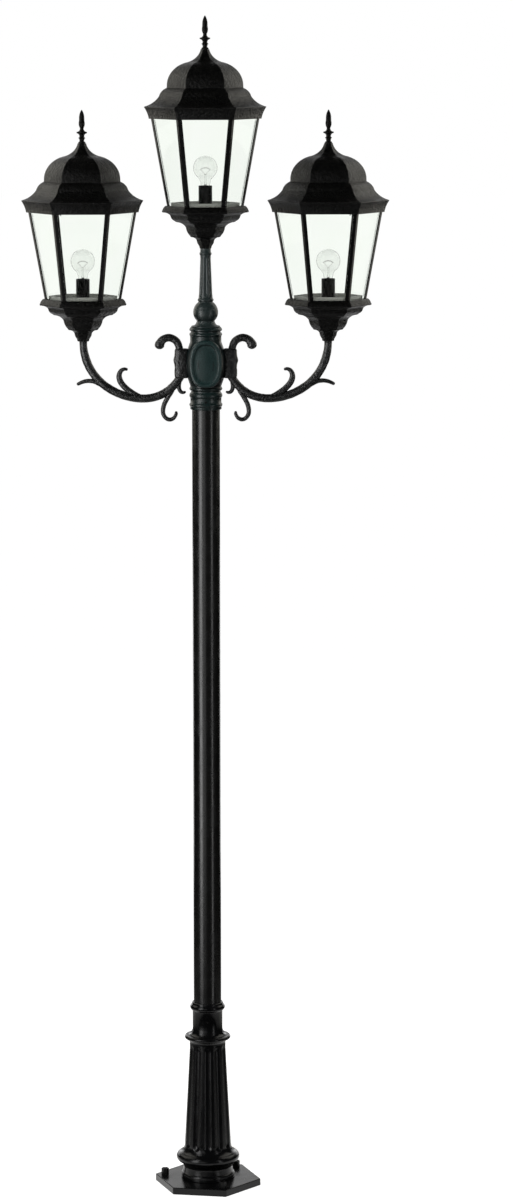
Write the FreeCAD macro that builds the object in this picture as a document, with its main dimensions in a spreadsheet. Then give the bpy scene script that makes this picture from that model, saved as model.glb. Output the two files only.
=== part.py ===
import FreeCAD, Part
import math
import os
import re

import Sketcher
from FreeCAD import Placement, Rotation, Vector

# A garden lamp post with three six-sided lanterns: one stands on top of the post and two on
# scrolled arms to its left and right. Millimetres, +Z up, the front faces -Y. The origin is the
# middle of the base plate's underside. A "half" is half the width across a hexagon's flats, and a
# "rise" is how far an arc stands off its chord. Heights in a lantern are above its own seat.

SIZES = {
    # base casting
    "plate_radius": 150.5,          # centre to corner of the six-sided plate
    "plate_thick": 20.0,
    "plate_turn": 49.5,             # degrees from +X to the first corner
    "anchor_circle": 123.0,         # radius that the anchor holes stand on
    "anchor_hole": 6.6,
    "cavity_radius": 36.0,
    "foot_radius": 75.0,
    "foot_height": 34.0,
    "waist_radius": 70.5,
    "bulge_base": 77.0,
    "bulge_low": 66.0,
    "bulge_high": 94.0,
    "bulge_radius": 88.0,
    "bulge_slope": 8.0,
    "shaft_foot": 65.5,
    "shaft_low": 122.0,
    "shaft_head": 50.0,
    "shaft_drop": 118.5,
    "ring_radius": 63.5,
    "ring_low_drop": 103.5,
    "ring_high_drop": 97.5,
    "collar_radius": 42.0,
    "collar_low_drop": 77.5,
    "cap_drop": 22.5,
    "cap_radius": 47.5,
    "cap_edge": 14.0,
    "cap_slope": 4.0,
    "base_height": 525.5,
    "flute_count": 12.0,
    "flute_radius": 17.0,
    "flute_foot_depth": 5.5,
    "flute_head_depth": 3.2,
    "flute_low": 116.0,
    "flute_drop": 127.5,
    # pole
    "pole_radius": 38.1,
    "pole_wall": 3.2,
    "pole_foot_drop": 82.5,             # rests on the ledge in the base
    "pole_head": -70.0,            # ends under the ledge in the hub
    "ledge_width": 5.0,
    "slip_fit": 0.1,                # sliding clearance round the pole
    # hub
    "hub_height": 2318.0,           # middle of the ovals; heights up to the lantern seats are from here
    "hub_low": -127.0,
    "hub_high": 98.0,
    "hub_band": 42.8,
    "groove_depth": 2.0,
    "groove_width": 4.0,
    "lower_groove": -86.0,
    "upper_groove": 84.0,
    "barrel_low": -61.0,
    "barrel_high": 58.0,
    "barrel_radius": 54.8,
    "barrel_slope": 34.0,
    "chamber_radius": 44.0,
    "chamber_low": -47.0,
    "chamber_high": 44.0,
    "hub_roof": 12.0,
    "oval_reach": 56.0,             # front face of the oval rim from the axis
    "oval_half_width": 38.0,
    "oval_half_height": 40.0,
    "oval_side_rise": 6.0,
    "oval_end_rise": 23.0,
    "oval_rim": 13.0,
    "oval_depth": 4.0,
    # stem under the middle lantern
    "stem_foot": 40.0,
    "stem_foot_edge": 2.5,
    "stem_neck": 24.5,
    "stem_neck_height": 113.0,
    "bead_low": 116.0,
    "bead_high": 168.0,
    "bead_radius": 34.0,
    "bead_band_low": 132.0,
    "bead_band_high": 147.0,
    "stem_collar": 20.0,
    "stem_low": 181.0,
    "stem_low_radius": 19.0,
    "stem_head_radius": 14.5,
    "stem_head_low": 300.0,
    "stem_flute_count": 8.0,
    "stem_flute_radius": 6.5,
    "stem_flute_foot_depth": 2.2,
    "stem_flute_head_depth": 1.3,
    "stem_flute_end": 8.0,
    # lantern places
    "centre_seat": 313.0,
    "side_seat": 60.0,
    "side_reach": 335.0,
    # threaded pieces
    "thread_play": 0.1,
    "nipple_radius": 6.6,
    "wireway": 4.5,
    "nipple_sunk": 22.0,
    "nipple_end": 2.0,              # how far a nipple stands past its locknut
    "locknut_half": 10.0,
    "locknut_thick": 4.5,
    "arm_nipple_sunk": 16.0,
    "set_screw_radius": 3.0,
    "set_screw_length": 5.5,
    "set_screw_count": 3.0,
    "base_screw_drop": 51.5,
    "hub_screw_height": -104.0,
    "anchor_nut_half": 9.0,
    "anchor_nut_high": 17.0,
    "anchor_nut_bore": 6.1,
    # arms
    "bar_radius": 11.0,
    "arm_drop": 3.0,
    "arm_bend": 60.8,               # degrees turned before the long sweep
    "arm_low": -97.2,               # lowest point of the bar's middle line
    "arm_low_reach": 168.9,
    "arm_rise_radius": 110.8,
    "arm_rise": 66.0,
    "wireway_rise": 83.0,
    "boss_half_width": 17.0,
    "boss_low": -41.0,
    "boss_high": 40.0,
    "boss_bump_low": -7.0,
    "boss_bump_high": 21.0,
    "boss_reach": 87.0,
    "boss_root": 38.0,
    "boss_bump": 6.0,
    "saddle_gap": 0.1,
    "hook_radius": 11.0,
    "hook_bend_radius": 28.0,
    "hook_bend": 165.0,
    "hook_foot": 20.0,
    "hook_spring": 42.0,
    "hook_x": 72.5,
    "hook_button": 13.2,
    "curl_radius": 5.2,
    "curl_bend_radius": 19.0,
    "curl_bend": 185.0,
    "curl_foot": -117.5,
    "curl_spring": -137.5,
    "curl_button": 6.2,
    "curl_out": 28.0,               # from the stalk's root
    "stalk_turn": 45.4,             # degrees up the bar from its lowest point
    "curl_stalk_bow": 9.0,
    "curl_stalk_thick": 13.0,
    "inner_leaf_turn": 16.2,
    "inner_leaf_sunk": 5.0,
    "inner_leaf_out": -6.0,
    "inner_leaf_up": 72.0,
    "inner_leaf_bow": 18.0,
    "inner_leaf_thick": 16.0,
    "outer_leaf_turn": 47.9,
    "outer_leaf_out": 68.0,
    "outer_leaf_up": 2.0,
    "outer_leaf_bow": 13.0,
    "outer_leaf_thick": 10.0,
    "heel_leaf_out": -36.5,
    "heel_leaf_up": -17.5,
    "heel_leaf_bow": 12.0,
    "heel_leaf_thick": 9.0,
    "leaf_half_width": 6.0,
    # lantern roof
    "eave_rise": 21.0,
    "fascia_drop": 30.6,
    "fascia_half": 133.0,
    "fascia_hollow": 1.5,
    "lip_half": 144.0,
    "lip_edge": 2.0,
    "flare_half": 109.0,
    "flare_rise": 29.0,
    "flare_hollow": 4.0,
    "shoulder_half": 92.0,
    "shoulder_rise": 52.0,
    "shoulder_swell": 3.0,
    "dome_half": 90.3,
    "dome_foot": 57.0,
    "dome_head_half": 45.5,
    "dome_head": 120.5,
    "dome_swell": 13.0,
    "apex_half": 10.4,
    "apex_rise": 156.5,
    "apex_hollow": 7.5,
    "apex_thick": 10.0,
    "roof_wall": 2.8,
    "fascia_wall": 2.4,
    "rib_inner_depth": 9.0,
    "rib_outer_depth": 13.5,
    "rest_gap": 0.2,                # between a piece that lifts or turns and its seat
    # finial
    "finial_foot": 10.0,
    "finial_neck": 6.9,
    "finial_neck_height": 9.0,
    "knob_low": 20.0,
    "knob_radius": 14.5,
    "knob_height": 28.5,
    "knob_edge": 4.0,
    "knob_high": 38.0,
    "spear_foot": 5.2,
    "spear_radius": 7.5,
    "spear_belly": 62.0,
    "spear_tip": 1.2,
    "finial_height": 90.0,
    "finial_bore_depth": 24.0,
    # cage and its hanger
    "cage_foot": 103.0,
    "cage_height": 258.0,
    "cage_foot_half": 88.6,
    "cage_head_half": 129.0,
    "cage_wall": 3.0,
    "bar_leg": 9.5,
    "window_sill": 11.0,
    "window_head_gap": 5.0,
    "flange_thick": 3.0,
    "flange_half": 73.0,
    "curb_half": 116.0,
    "curb_wall": 4.0,
    "curb_height": 22.0,
    "hanger_width": 18.0,
    "hanger_thick": 3.0,
    "hanger_drop": 11.0,
    "stud_radius": 4.0,
    "stud_stand": 20.0,
    # glass
    "pane_sill": 5.0,
    "pane_head_gap": 5.5,
    "pane_edge": 2.2,
    "pane_crown": 1.6,
    "pane_gap": 0.2,
    "bevel_width": 10.0,
    "pane_inset": 2.7,
    "sight_gap": 1.0,               # between the bevel and the bars
    # cup
    "cup_foot_half": 18.4,
    "cup_foot_top_half": 20.0,
    "cup_foot_height": 9.0,
    "bowl_half": 37.5,
    "bowl_height": 30.0,
    "bowl_cove": 2.5,
    "waist_half": 46.0,
    "waist_top": 51.0,
    "waist_swell": 1.5,
    "belly_half": 74.0,
    "belly_height": 75.0,
    "belly_cove": 2.5,
    "throat_half": 84.0,
    "throat_drop": 11.5,
    "rim_half": 103.0,
    "rim_drop": 3.5,
    "rim_edge": 3.5,
    "cup_lap": 13.0,
    "cup_top_half": 95.5,
    "cup_wall": 3.0,
    "cup_floor": 12.0,
    "cage_play": 0.4,               # between the cage and the cup where they are nearest
    # lamp
    "pan_half": 80.0,
    "pan_height": 19.0,
    "pan_wall": 1.6,
    "holder_radius": 19.4,
    "holder_height": 68.0,
    "holder_floor_rise": 25.0,
    "holder_thread": 5.5,
    "shell_radius": 13.3,
    "lamp_play": 0.1,
    "lamp_foot_rise": 26.0,
    "lamp_cap_rise": 55.0,
    "lamp_neck": 12.2,
    "lamp_neck_rise": 73.0,
    "globe_radius": 33.0,
    "globe_rise": 116.0,
    "glass_wall": 1.2,
}

# Lantern heights that follow from the cage's.
DERIVED = {
    "cage_head": "cage_foot+cage_height",
    "curb_top": "cage_head+curb_height",
    "hanger_height": "curb_top-hanger_drop",
    "eave": "cage_head+eave_rise",
    "stud_top": "eave+apex_rise+stud_stand",
    "window_low": "cage_foot+window_sill",
    "window_high": "cage_head-window_head_gap",
    "pane_low": "cage_foot+pane_sill",
    "pane_high": "cage_head-pane_head_gap",
    "holder_top": "cage_foot+holder_height",
    "holder_floor": "cage_foot+holder_floor_rise",
    "lamp_foot": "cage_foot+lamp_foot_rise",
    "lamp_cap_top": "cage_foot+lamp_cap_rise",
    "lamp_neck_top": "cage_foot+lamp_neck_rise",
    "globe_height": "cage_foot+globe_rise",
    "cup_top": "cage_foot+cup_lap",
    "rim_height": "cage_foot-rim_drop",
    "throat_height": "cage_foot-throat_drop",
}

doc = FreeCAD.newDocument("triple_lamp_post")
sheet = doc.addObject("Spreadsheet::Sheet", "Sizes")
cells = [(alias, str(size)) for alias, size in SIZES.items()]
cells += [(alias, "=" + formula) for alias, formula in DERIVED.items()]
ALIASES = {alias for alias, content in cells}
for row, (alias, content) in enumerate(cells, start=1):
    sheet.set("A%d" % row, alias)
    sheet.set("B%d" % row, content)
    sheet.setAlias("B%d" % row, alias)
doc.recompute()


# ---------------------------------------------------------------- drawing helpers

def bound(formula):
    """The formula with every size name turned into a reference to the sheet."""
    return re.sub(r"[A-Za-z_]+", lambda word: "Sizes." + word[0] if word[0] in ALIASES else word[0],
                  str(formula))


def number(formula):
    """What the formula comes to with the sheet's present sizes."""
    return float(sheet.evalExpression(bound(formula)))


def new_body(label, x="0", z="0", turn="0"):
    body = doc.addObject("PartDesign::Body", label)
    body.Label = label
    body.Placement = Placement(Vector(number(x), 0, number(z)), Rotation(Vector(0, 0, 1), number(turn)))
    body.setExpression("Placement.Base.x", bound(x))
    body.setExpression("Placement.Base.z", bound(z))
    return body


def datum(body, role):
    return next(feature for feature in body.Origin.OriginFeatures if feature.Role == role)


def new_sketch(body, plane, name, z="0", x="0", y="0", angle="0", axis=Vector(1, 0, 0)):
    """A sketch on one of the body's origin planes, moved in that plane's own axes and turned about one."""
    sketch = body.newObject("Sketcher::SketchObject", name)
    sketch.AttachmentSupport = [(datum(body, plane), "")]
    sketch.MapMode = "FlatFace"
    place = Vector(number(x), number(y), number(z))
    sketch.AttachmentOffset = Placement(place, Rotation(axis, number(angle)))
    for target, formula in (("Base.x", x), ("Base.y", y), ("Base.z", z), ("Rotation.Angle", angle)):
        if formula != "0":
            sketch.setExpression("AttachmentOffset." + target, bound(formula))
    return sketch


def dimension(sketch, kind, target, formula):
    """A driving dimension that reads the sheet."""
    index = sketch.addConstraint(Sketcher.Constraint(kind, *target, number(formula)))
    sketch.setExpression("Constraints[%d]" % index, bound(formula))


def pin(sketch, edge, end, x, y):
    """Hold one end of an edge at a place in the sketch."""
    dimension(sketch, "DistanceX", (-1, 1, edge, end), x)
    dimension(sketch, "DistanceY", (-1, 1, edge, end), y)


def arc_through(first, last, rise):
    """Arc from first to last that stands off its chord by rise, on the left where rise is positive."""
    chord = last - first
    left = Vector(-chord.y, chord.x, 0).normalize()
    radius = chord.Length ** 2 / (8 * abs(rise)) + abs(rise) / 2
    centre = (first + last) * 0.5 + left * (rise - math.copysign(radius, rise))
    start, end = (last, first) if rise > 0 else (first, last)
    angles = [math.atan2(point.y - centre.y, point.x - centre.x) for point in (start, end)]
    if angles[1] < angles[0]:
        angles[1] += 2 * math.pi
    return Part.ArcOfCircle(Part.Circle(centre, Vector(0, 0, 1), radius), *angles)


def outline(sketch, corners):
    """Closed outline. A corner is (x, y), or (x, y, rise) where the next side is an arc."""
    count = len(corners)
    places = [Vector(number(corner[0]), number(corner[1]), 0) for corner in corners]
    ends = []
    for side, corner in enumerate(corners):
        first, last = places[side], places[(side + 1) % count]
        if len(corner) == 2:
            edge = sketch.addGeometry(Part.LineSegment(first, last))
            ends.append((edge, 1, 2))
            continue
        edge = sketch.addGeometry(arc_through(first, last, number(corner[2])))
        clockwise = number(corner[2]) > 0
        ends.append((edge, 2, 1) if clockwise else (edge, 1, 2))
    for side, corner in enumerate(corners):
        edge, start, end = ends[side]
        after = ends[(side + 1) % count]
        sketch.addConstraint(Sketcher.Constraint("Coincident", edge, end, after[0], after[1]))
        pin(sketch, edge, start, corner[0], corner[1])
        if len(corner) == 3:
            other = corners[(side + 1) % count]
            chord = "((%s)-(%s))^2+((%s)-(%s))^2" % (other[0], corner[0], other[1], corner[1])
            dimension(sketch, "Radius", (edge,), "(%s)/(8*abs(%s))+abs(%s)/2" % (chord, corner[2], corner[2]))


def circle(sketch, radius, x="0", y="0"):
    edge = sketch.addGeometry(Part.Circle(Vector(number(x), number(y), 0), Vector(0, 0, 1), number(radius)))
    pin(sketch, edge, 3, x, y)
    dimension(sketch, "Radius", (edge,), radius)


def polygon(sketch, half, sides, x="0", y="0", path=False):
    """Regular polygon with a flat toward +Y. As a path it starts in the middle of that flat."""
    reach = "(%s)/cos(%.4f)" % (half, 180 / sides)
    turns = [90 + (side + 0.5) * 360 / sides for side in range(sides)]
    corners = [("%s+%s*cos(%.4f)" % (x, reach, turn), "%s+%s*sin(%.4f)" % (y, reach, turn)) for turn in turns]
    if path:
        corners.insert(0, (x, half))
    outline(sketch, corners)


def route(sketch, x, y, straight, turns, heading=-90.0):
    """Open path: straight down (heading -90) or up (90), then tangent clockwise arcs (radius, degrees)."""
    start = Vector(number(x), number(y), 0)
    place = start + Vector(0, math.copysign(number(straight), heading), 0)
    edge = sketch.addGeometry(Part.LineSegment(start, place))
    pin(sketch, edge, 1, x, y)
    sketch.addConstraint(Sketcher.Constraint("Vertical", edge))
    dimension(sketch, "Distance", (edge,), straight)
    joined = (edge, 2)
    for radius, degrees in turns:
        inward = Vector(math.sin(math.radians(heading)), -math.cos(math.radians(heading)), 0)
        centre = place + inward * number(radius)
        begin = math.radians(heading + 90)
        finish = math.radians(heading + 90 - number(degrees))
        ring = Part.Circle(centre, Vector(0, 0, 1), number(radius))
        edge = sketch.addGeometry(Part.ArcOfCircle(ring, finish, begin))
        sketch.addConstraint(Sketcher.Constraint("Tangent", joined[0], joined[1], edge, 2))
        dimension(sketch, "Radius", (edge,), radius)
        span = sketch.addConstraint(Sketcher.Constraint("Angle", edge, math.radians(number(degrees))))
        sketch.setExpression("Constraints[%d]" % span, "(%s)*1deg" % bound(degrees))
        heading -= number(degrees)
        place = centre + Vector(math.cos(finish), math.sin(finish), 0) * number(radius)
        joined = (edge, 1)


# ---------------------------------------------------------------- solid helpers

def pad(body, sketch, length, both=False, away=False, kind="Pad"):
    feature = body.newObject("PartDesign::" + kind, kind)
    feature.Profile = sketch
    feature.Length = number(length)
    feature.setExpression("Length", bound(length))
    feature.Reversed = away
    if both:
        feature.SideType = "Symmetric"
    return feature


def pocket(body, sketch, length, both=False, away=False):
    return pad(body, sketch, length, both, away, "Pocket")


def revolve(body, sketch, kind="Revolution"):
    feature = body.newObject("PartDesign::" + kind, kind)
    feature.Profile = sketch
    feature.ReferenceAxis = (sketch, ["V_Axis"])
    feature.Angle = 360
    return feature


def turned(body, corners, name="Section"):
    """A body of revolution about Z from a half section drawn in radius and height."""
    sketch = new_sketch(body, "XZ_Plane", name)
    outline(sketch, corners)
    return revolve(body, sketch)


def around(body, features, count):
    """Repeat features round the body's Z axis."""
    pattern = body.newObject("PartDesign::PolarPattern", "Around")
    pattern.Originals = features
    pattern.Axis = (datum(body, "Z_Axis"), [""])
    pattern.Angle = 360
    pattern.Occurrences = int(number(count))
    pattern.setExpression("Occurrences", bound(count))
    body.Tip = pattern
    return pattern


def mitred_wall(body, corners, sides=6):
    """A wall section, drawn in distance from the flats and height, carried round a polygon."""
    section = new_sketch(body, "YZ_Plane", "WallSection")
    outline(section, corners)
    path = new_sketch(body, "XY_Plane", "PolygonPath")
    polygon(path, corners[0][0], sides, path=True)
    wall = swept(body, section, path, sides + 1)
    wall.Transition = "Right corner"
    return wall


def swept(body, section, path, edges, kind="AdditivePipe"):
    sweep = body.newObject("PartDesign::" + kind, kind)
    sweep.Profile = section
    sweep.Spine = (path, ["Edge%d" % (edge + 1) for edge in range(edges)])
    return sweep


def round_washer(body, outer, inner, z, thick):
    """A flat ring padded upward from height z."""
    sketch = new_sketch(body, "XY_Plane", "Ring", z)
    circle(sketch, outer)
    circle(sketch, inner)
    return pad(body, sketch, thick)


def hex_ring(body, outer_half, inner_half, z, thick):
    """A flat hexagonal ring padded upward from height z."""
    sketch = new_sketch(body, "XY_Plane", "HexRing", z)
    polygon(sketch, outer_half, 6)
    polygon(sketch, inner_half, 6)
    return pad(body, sketch, thick)


def flute(body, foot_radius, foot_height, head_radius, head_height, cutter, count):
    """Hollow flutes cut along the slope of a tapered shaft."""
    slope = "atan(((%s)-(%s))/((%s)-(%s)))" % (foot_radius, head_radius, head_height, foot_height)
    sketch = new_sketch(body, "XZ_Plane", "Flute", "0", foot_radius, foot_height, slope, Vector(0, 0, 1))
    length = "((%s)-(%s))/cos(%s)" % (head_height, foot_height, slope)
    outline(sketch, [("0", "0"), (cutter, "0"), (cutter, length), ("0", length)])
    return around(body, [revolve(body, sketch, "Groove")], count)


def ruled_loft(body, sections, kind="AdditiveLoft"):
    loft = body.newObject("PartDesign::" + kind, kind)
    loft.Profile = sections[0]
    loft.Sections = sections[1:]
    loft.Ruled = True
    return loft


# ---------------------------------------------------------------- base, pole, hub and stem

def anchor_spots():
    """Centres of the three anchor studs, on every second corner of the plate."""
    return [("anchor_circle*cos(plate_turn+%d)" % turn, "anchor_circle*sin(plate_turn+%d)" % turn)
            for turn in range(0, 360, 120)]


POLE_FOOT = "(base_height-pole_foot_drop)"


def make_base():
    body = new_body("base")
    plate = new_sketch(body, "XY_Plane", "Plate")
    outline(plate, [("plate_radius*cos(plate_turn+%d)" % turn, "plate_radius*sin(plate_turn+%d)" % turn)
                    for turn in range(0, 360, 60)])
    circle(plate, "cavity_radius")
    for x, y in anchor_spots():
        circle(plate, "anchor_hole", x, y)
    pad(body, plate, "plate_thick")

    pole_hole = "pole_radius+slip_fit"
    turned(body, [
        ("cavity_radius", "0"), ("foot_radius", "0"), ("foot_radius", "foot_height"),
        ("waist_radius", "foot_height"), ("waist_radius", "bulge_low"),
        ("bulge_base", "bulge_low"), ("bulge_radius", "bulge_low+bulge_slope"),
        ("bulge_radius", "bulge_high-bulge_slope"), ("bulge_base", "bulge_high"),
        ("shaft_foot", "shaft_low"), ("shaft_head", "base_height-shaft_drop"),
        ("ring_radius", "base_height-ring_low_drop"), ("ring_radius", "base_height-ring_high_drop"),
        ("collar_radius", "base_height-collar_low_drop"), ("collar_radius", "base_height-cap_drop"),
        ("cap_radius", "base_height-cap_drop"), ("cap_radius", "base_height-cap_drop+cap_edge"),
        ("cap_radius-cap_slope", "base_height"), (pole_hole, "base_height"), (pole_hole, POLE_FOOT),
        ("cavity_radius", POLE_FOOT)])
    flute(body, "shaft_foot+flute_radius-flute_foot_depth", "flute_low",
          "shaft_head+flute_radius-flute_head_depth", "base_height-flute_drop", "flute_radius", "flute_count")
    radial_holes(body, "base_height-base_screw_drop", "cap_radius")
    return body


def radial_holes(body, height, reach):
    """Threaded holes for the set screws, spaced round a collar."""
    sketch = new_sketch(body, "XZ_Plane", "ScrewHole")
    circle(sketch, "set_screw_radius+thread_play", "0", height)
    around(body, [pocket(body, sketch, reach, away=True)], "set_screw_count")


def make_set_screws():
    """Screws in the base's and the hub's collars, with their points on the pole."""
    body = new_body("set_screws")
    screws = []
    for height in ("base_height-base_screw_drop", "hub_height+hub_screw_height"):
        sketch = new_sketch(body, "XZ_Plane", "Screw", "pole_radius")
        circle(sketch, "set_screw_radius", "0", height)
        screws.append(pad(body, sketch, "set_screw_length"))
    around(body, screws, "set_screw_count")
    return body


def make_anchor_nuts():
    """Nuts for the three anchor studs, which belong to the footing."""
    body = new_body("anchor_nuts")
    sketch = new_sketch(body, "XY_Plane", "Nuts", "plate_thick")
    for x, y in anchor_spots():
        polygon(sketch, "anchor_nut_half", 6, x, y)
        circle(sketch, "anchor_nut_bore", x, y)
    pad(body, sketch, "anchor_nut_high")
    return body


PAN_FLOOR = "cage_foot+flange_thick"
PAN_TOP = PAN_FLOOR + "+pan_wall"
LANTERNS = [("centre", "0", "centre_seat"), ("right", "side_reach", "side_seat"),
            ("left", "-side_reach", "side_seat")]


def make_pole():
    body = new_body("pole")
    round_washer(body, "pole_radius", "pole_radius-pole_wall", POLE_FOOT, "hub_height+pole_head-" + POLE_FOOT)
    return body


# The arms' locknuts lie where their corners meet the inside of the hub's chamber.
NUT_SEAT = "sqrt(chamber_radius^2-(locknut_half/cos(30))^2)"


def oval(sketch, inset):
    """Oval of four arcs, drawn smaller by inset."""
    wide, tall = "(oval_half_width-%s)" % inset, "(oval_half_height-%s*0.6)" % inset
    end_rise = "-(oval_end_rise-%s*0.4)" % inset
    outline(sketch, [(wide, "-" + tall, "-oval_side_rise"), (wide, tall, end_rise),
                     ("-" + wide, tall, "-oval_side_rise"), ("-" + wide, "-" + tall, end_rise)])


def make_hub():
    body = new_body("hub", z="hub_height")
    groove = "hub_band-groove_depth"
    turned(body, [
        ("0", "hub_low"), ("hub_band", "hub_low"), ("hub_band", "lower_groove"), (groove, "lower_groove"),
        (groove, "lower_groove+groove_width"), ("hub_band", "lower_groove+groove_width"),
        ("hub_band", "barrel_low"), ("barrel_radius", "barrel_low+barrel_slope"),
        ("barrel_radius", "barrel_high-barrel_slope"), ("hub_band", "barrel_high"),
        ("hub_band", "upper_groove"), (groove, "upper_groove"), (groove, "upper_groove+groove_width"),
        ("hub_band", "upper_groove+groove_width"), ("hub_band", "hub_high"), ("0", "hub_high")])
    rim = new_sketch(body, "XZ_Plane", "OvalRim")
    oval(rim, "0")
    pad(body, rim, "2*oval_reach", both=True)
    field = new_sketch(body, "XZ_Plane", "OvalField", "oval_reach")
    oval(field, "oval_rim")
    around(body, [pocket(body, field, "oval_depth")], "2")

    inside = new_sketch(body, "XZ_Plane", "Inside")
    pole_hole = "pole_radius+slip_fit"
    throat = pole_hole + "-ledge_width"
    outline(inside, [
        ("0", "hub_low-1"), (pole_hole, "hub_low-1"), (pole_hole, "pole_head"), (throat, "pole_head"),
        (throat, "chamber_low"), ("chamber_radius", "chamber_low"), ("chamber_radius", "chamber_high"),
        (throat, "chamber_high"), (throat, "hub_high-hub_roof"), ("0", "hub_high-hub_roof")])
    revolve(body, inside, "Groove")
    top_hole = new_sketch(body, "XY_Plane", "StemHole", "hub_high")
    circle(top_hole, "nipple_radius+thread_play")
    pocket(body, top_hole, "2*hub_roof", both=True)
    side_holes = new_sketch(body, "YZ_Plane", "ArmHoles")
    circle(side_holes, "nipple_radius+thread_play")
    pocket(body, side_holes, "4*oval_reach", both=True)
    radial_holes(body, "hub_screw_height", "hub_band+1")
    return body


def make_stem():
    body = new_body("stem", z="hub_height")
    nipple_hole = "nipple_radius+thread_play"
    turned(body, [
        (nipple_hole, "hub_high"), ("stem_foot", "hub_high"), ("stem_foot", "hub_high+stem_foot_edge"),
        ("stem_neck", "stem_neck_height"), ("stem_neck", "bead_low"),
        ("bead_radius", "bead_band_low"), ("bead_radius", "bead_band_high"), ("stem_collar", "bead_high"),
        ("stem_collar", "stem_low"), ("stem_low_radius", "stem_low"),
        ("stem_head_radius", "stem_head_low"), ("stem_head_radius", "centre_seat"),
        (nipple_hole, "centre_seat"), (nipple_hole, "centre_seat-nipple_sunk"),
        ("wireway", "centre_seat-nipple_sunk"), ("wireway", "hub_high+nipple_sunk"),
        (nipple_hole, "hub_high+nipple_sunk")])
    flute(body, "stem_low_radius+stem_flute_radius-stem_flute_foot_depth", "stem_low+stem_flute_end",
          "stem_head_radius+stem_flute_radius-stem_flute_head_depth", "stem_head_low-stem_flute_end",
          "stem_flute_radius", "stem_flute_count")
    return body


def make_hub_nipples():
    """Hollow threaded nipples that hold the stem and the two arms to the hub."""
    body = new_body("hub_nipples", z="hub_height")
    foot = "hub_high-hub_roof-locknut_thick-nipple_end"
    round_washer(body, "nipple_radius", "wireway", foot, "hub_high+nipple_sunk-(%s)" % foot)
    inner_end = "(%s-locknut_thick-nipple_end)" % NUT_SEAT
    for away in (False, True):
        sketch = new_sketch(body, "YZ_Plane", "Nipple", ("-" if away else "") + inner_end)
        circle(sketch, "nipple_radius")
        circle(sketch, "wireway")
        pad(body, sketch, "barrel_radius+arm_nipple_sunk-" + inner_end, away=away)
    return body


def make_locknuts():
    """Six alike: three inside the hub and one in the foot of each lantern."""
    body = new_body("locknuts", z="hub_height")
    places = [("XY_Plane", "hub_high-hub_roof-locknut_thick", "0", "0", False),
              ("YZ_Plane", "(%s-locknut_thick)" % NUT_SEAT, "0", "0", False),
              ("YZ_Plane", "-(%s-locknut_thick)" % NUT_SEAT, "0", "0", True)]
    places += [("XY_Plane", "%s+%s" % (seat, PAN_TOP), x, "0", False) for _, x, seat in LANTERNS]
    for plane, height, x, y, away in places:
        sketch = new_sketch(body, plane, "Nut", height)
        polygon(sketch, "locknut_half", 6, x, y)
        circle(sketch, "nipple_radius+thread_play", x, y)
        pad(body, sketch, "locknut_thick", away=away)
    return body


def make_lantern_nipples():
    """Hollow threaded nipples that clamp each lantern's cup to its seat and carry the lampholder."""
    body = new_body("lantern_nipples", z="hub_height")
    for _, x, seat in LANTERNS:
        sketch = new_sketch(body, "XY_Plane", "Nipple", seat + "-nipple_sunk")
        circle(sketch, "nipple_radius", x)
        circle(sketch, "wireway", x)
        pad(body, sketch, "nipple_sunk+%s+locknut_thick+holder_thread" % PAN_TOP)
    return body


# ---------------------------------------------------------------- arms

def curl(body, name, x, foot, spring, bend_radius, bend, radius, button, heading):
    """A bar that runs straight up or down, rolls over and ends in a round button."""
    sign = "+" if heading > 0 else "-"
    path = new_sketch(body, "XZ_Plane", name + "Path")
    route(path, x, foot, "abs(%s-%s)" % (spring, foot), [(bend_radius, bend)], heading)
    section = new_sketch(body, "XY_Plane", name + "Section", foot)
    polygon(section, radius, 8, x)
    swept(body, section, path, 2)
    end = new_sketch(body, "XZ_Plane", name + "Button")
    circle(end, button, "%s%s%s*(1-cos(%s))" % (x, sign, bend_radius, bend),
           "%s%s%s*sin(%s)" % (spring, sign, bend_radius, bend))
    pad(body, end, "2*leaf_half_width", both=True)


def leaf(body, name, root, tip, bow, thick):
    """A flat cast leaf between two arcs; it bows to the left of the way from root to tip."""
    sketch = new_sketch(body, "XZ_Plane", name)
    outline(sketch, [root + ("%s+%s/2" % (bow, thick),), tip + ("-(%s-%s/2)" % (bow, thick),)])
    pad(body, sketch, "2*leaf_half_width", both=True)


# The bar comes straight down from its seat, bends, sweeps to its lowest point and rises to the boss.
ARM_FALL = "(side_seat-arm_drop-arm_low)"
ARM_SPAN = "(side_reach-arm_low_reach)"
BEND_RADIUS = "((%s*cos(arm_bend)-%s*(1-sin(arm_bend)))/(sin(arm_bend)+cos(arm_bend)-1))" % (
    ARM_FALL, ARM_SPAN)
SWEEP_RADIUS = "((%s-%s*(1-cos(arm_bend)))/cos(arm_bend))" % (ARM_SPAN, BEND_RADIUS)


def bar_route(sketch, rise):
    route(sketch, "side_reach", "side_seat", "arm_drop",
          [(BEND_RADIUS, "arm_bend"), (SWEEP_RADIUS, "90-arm_bend"), ("arm_rise_radius", rise)])


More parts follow.
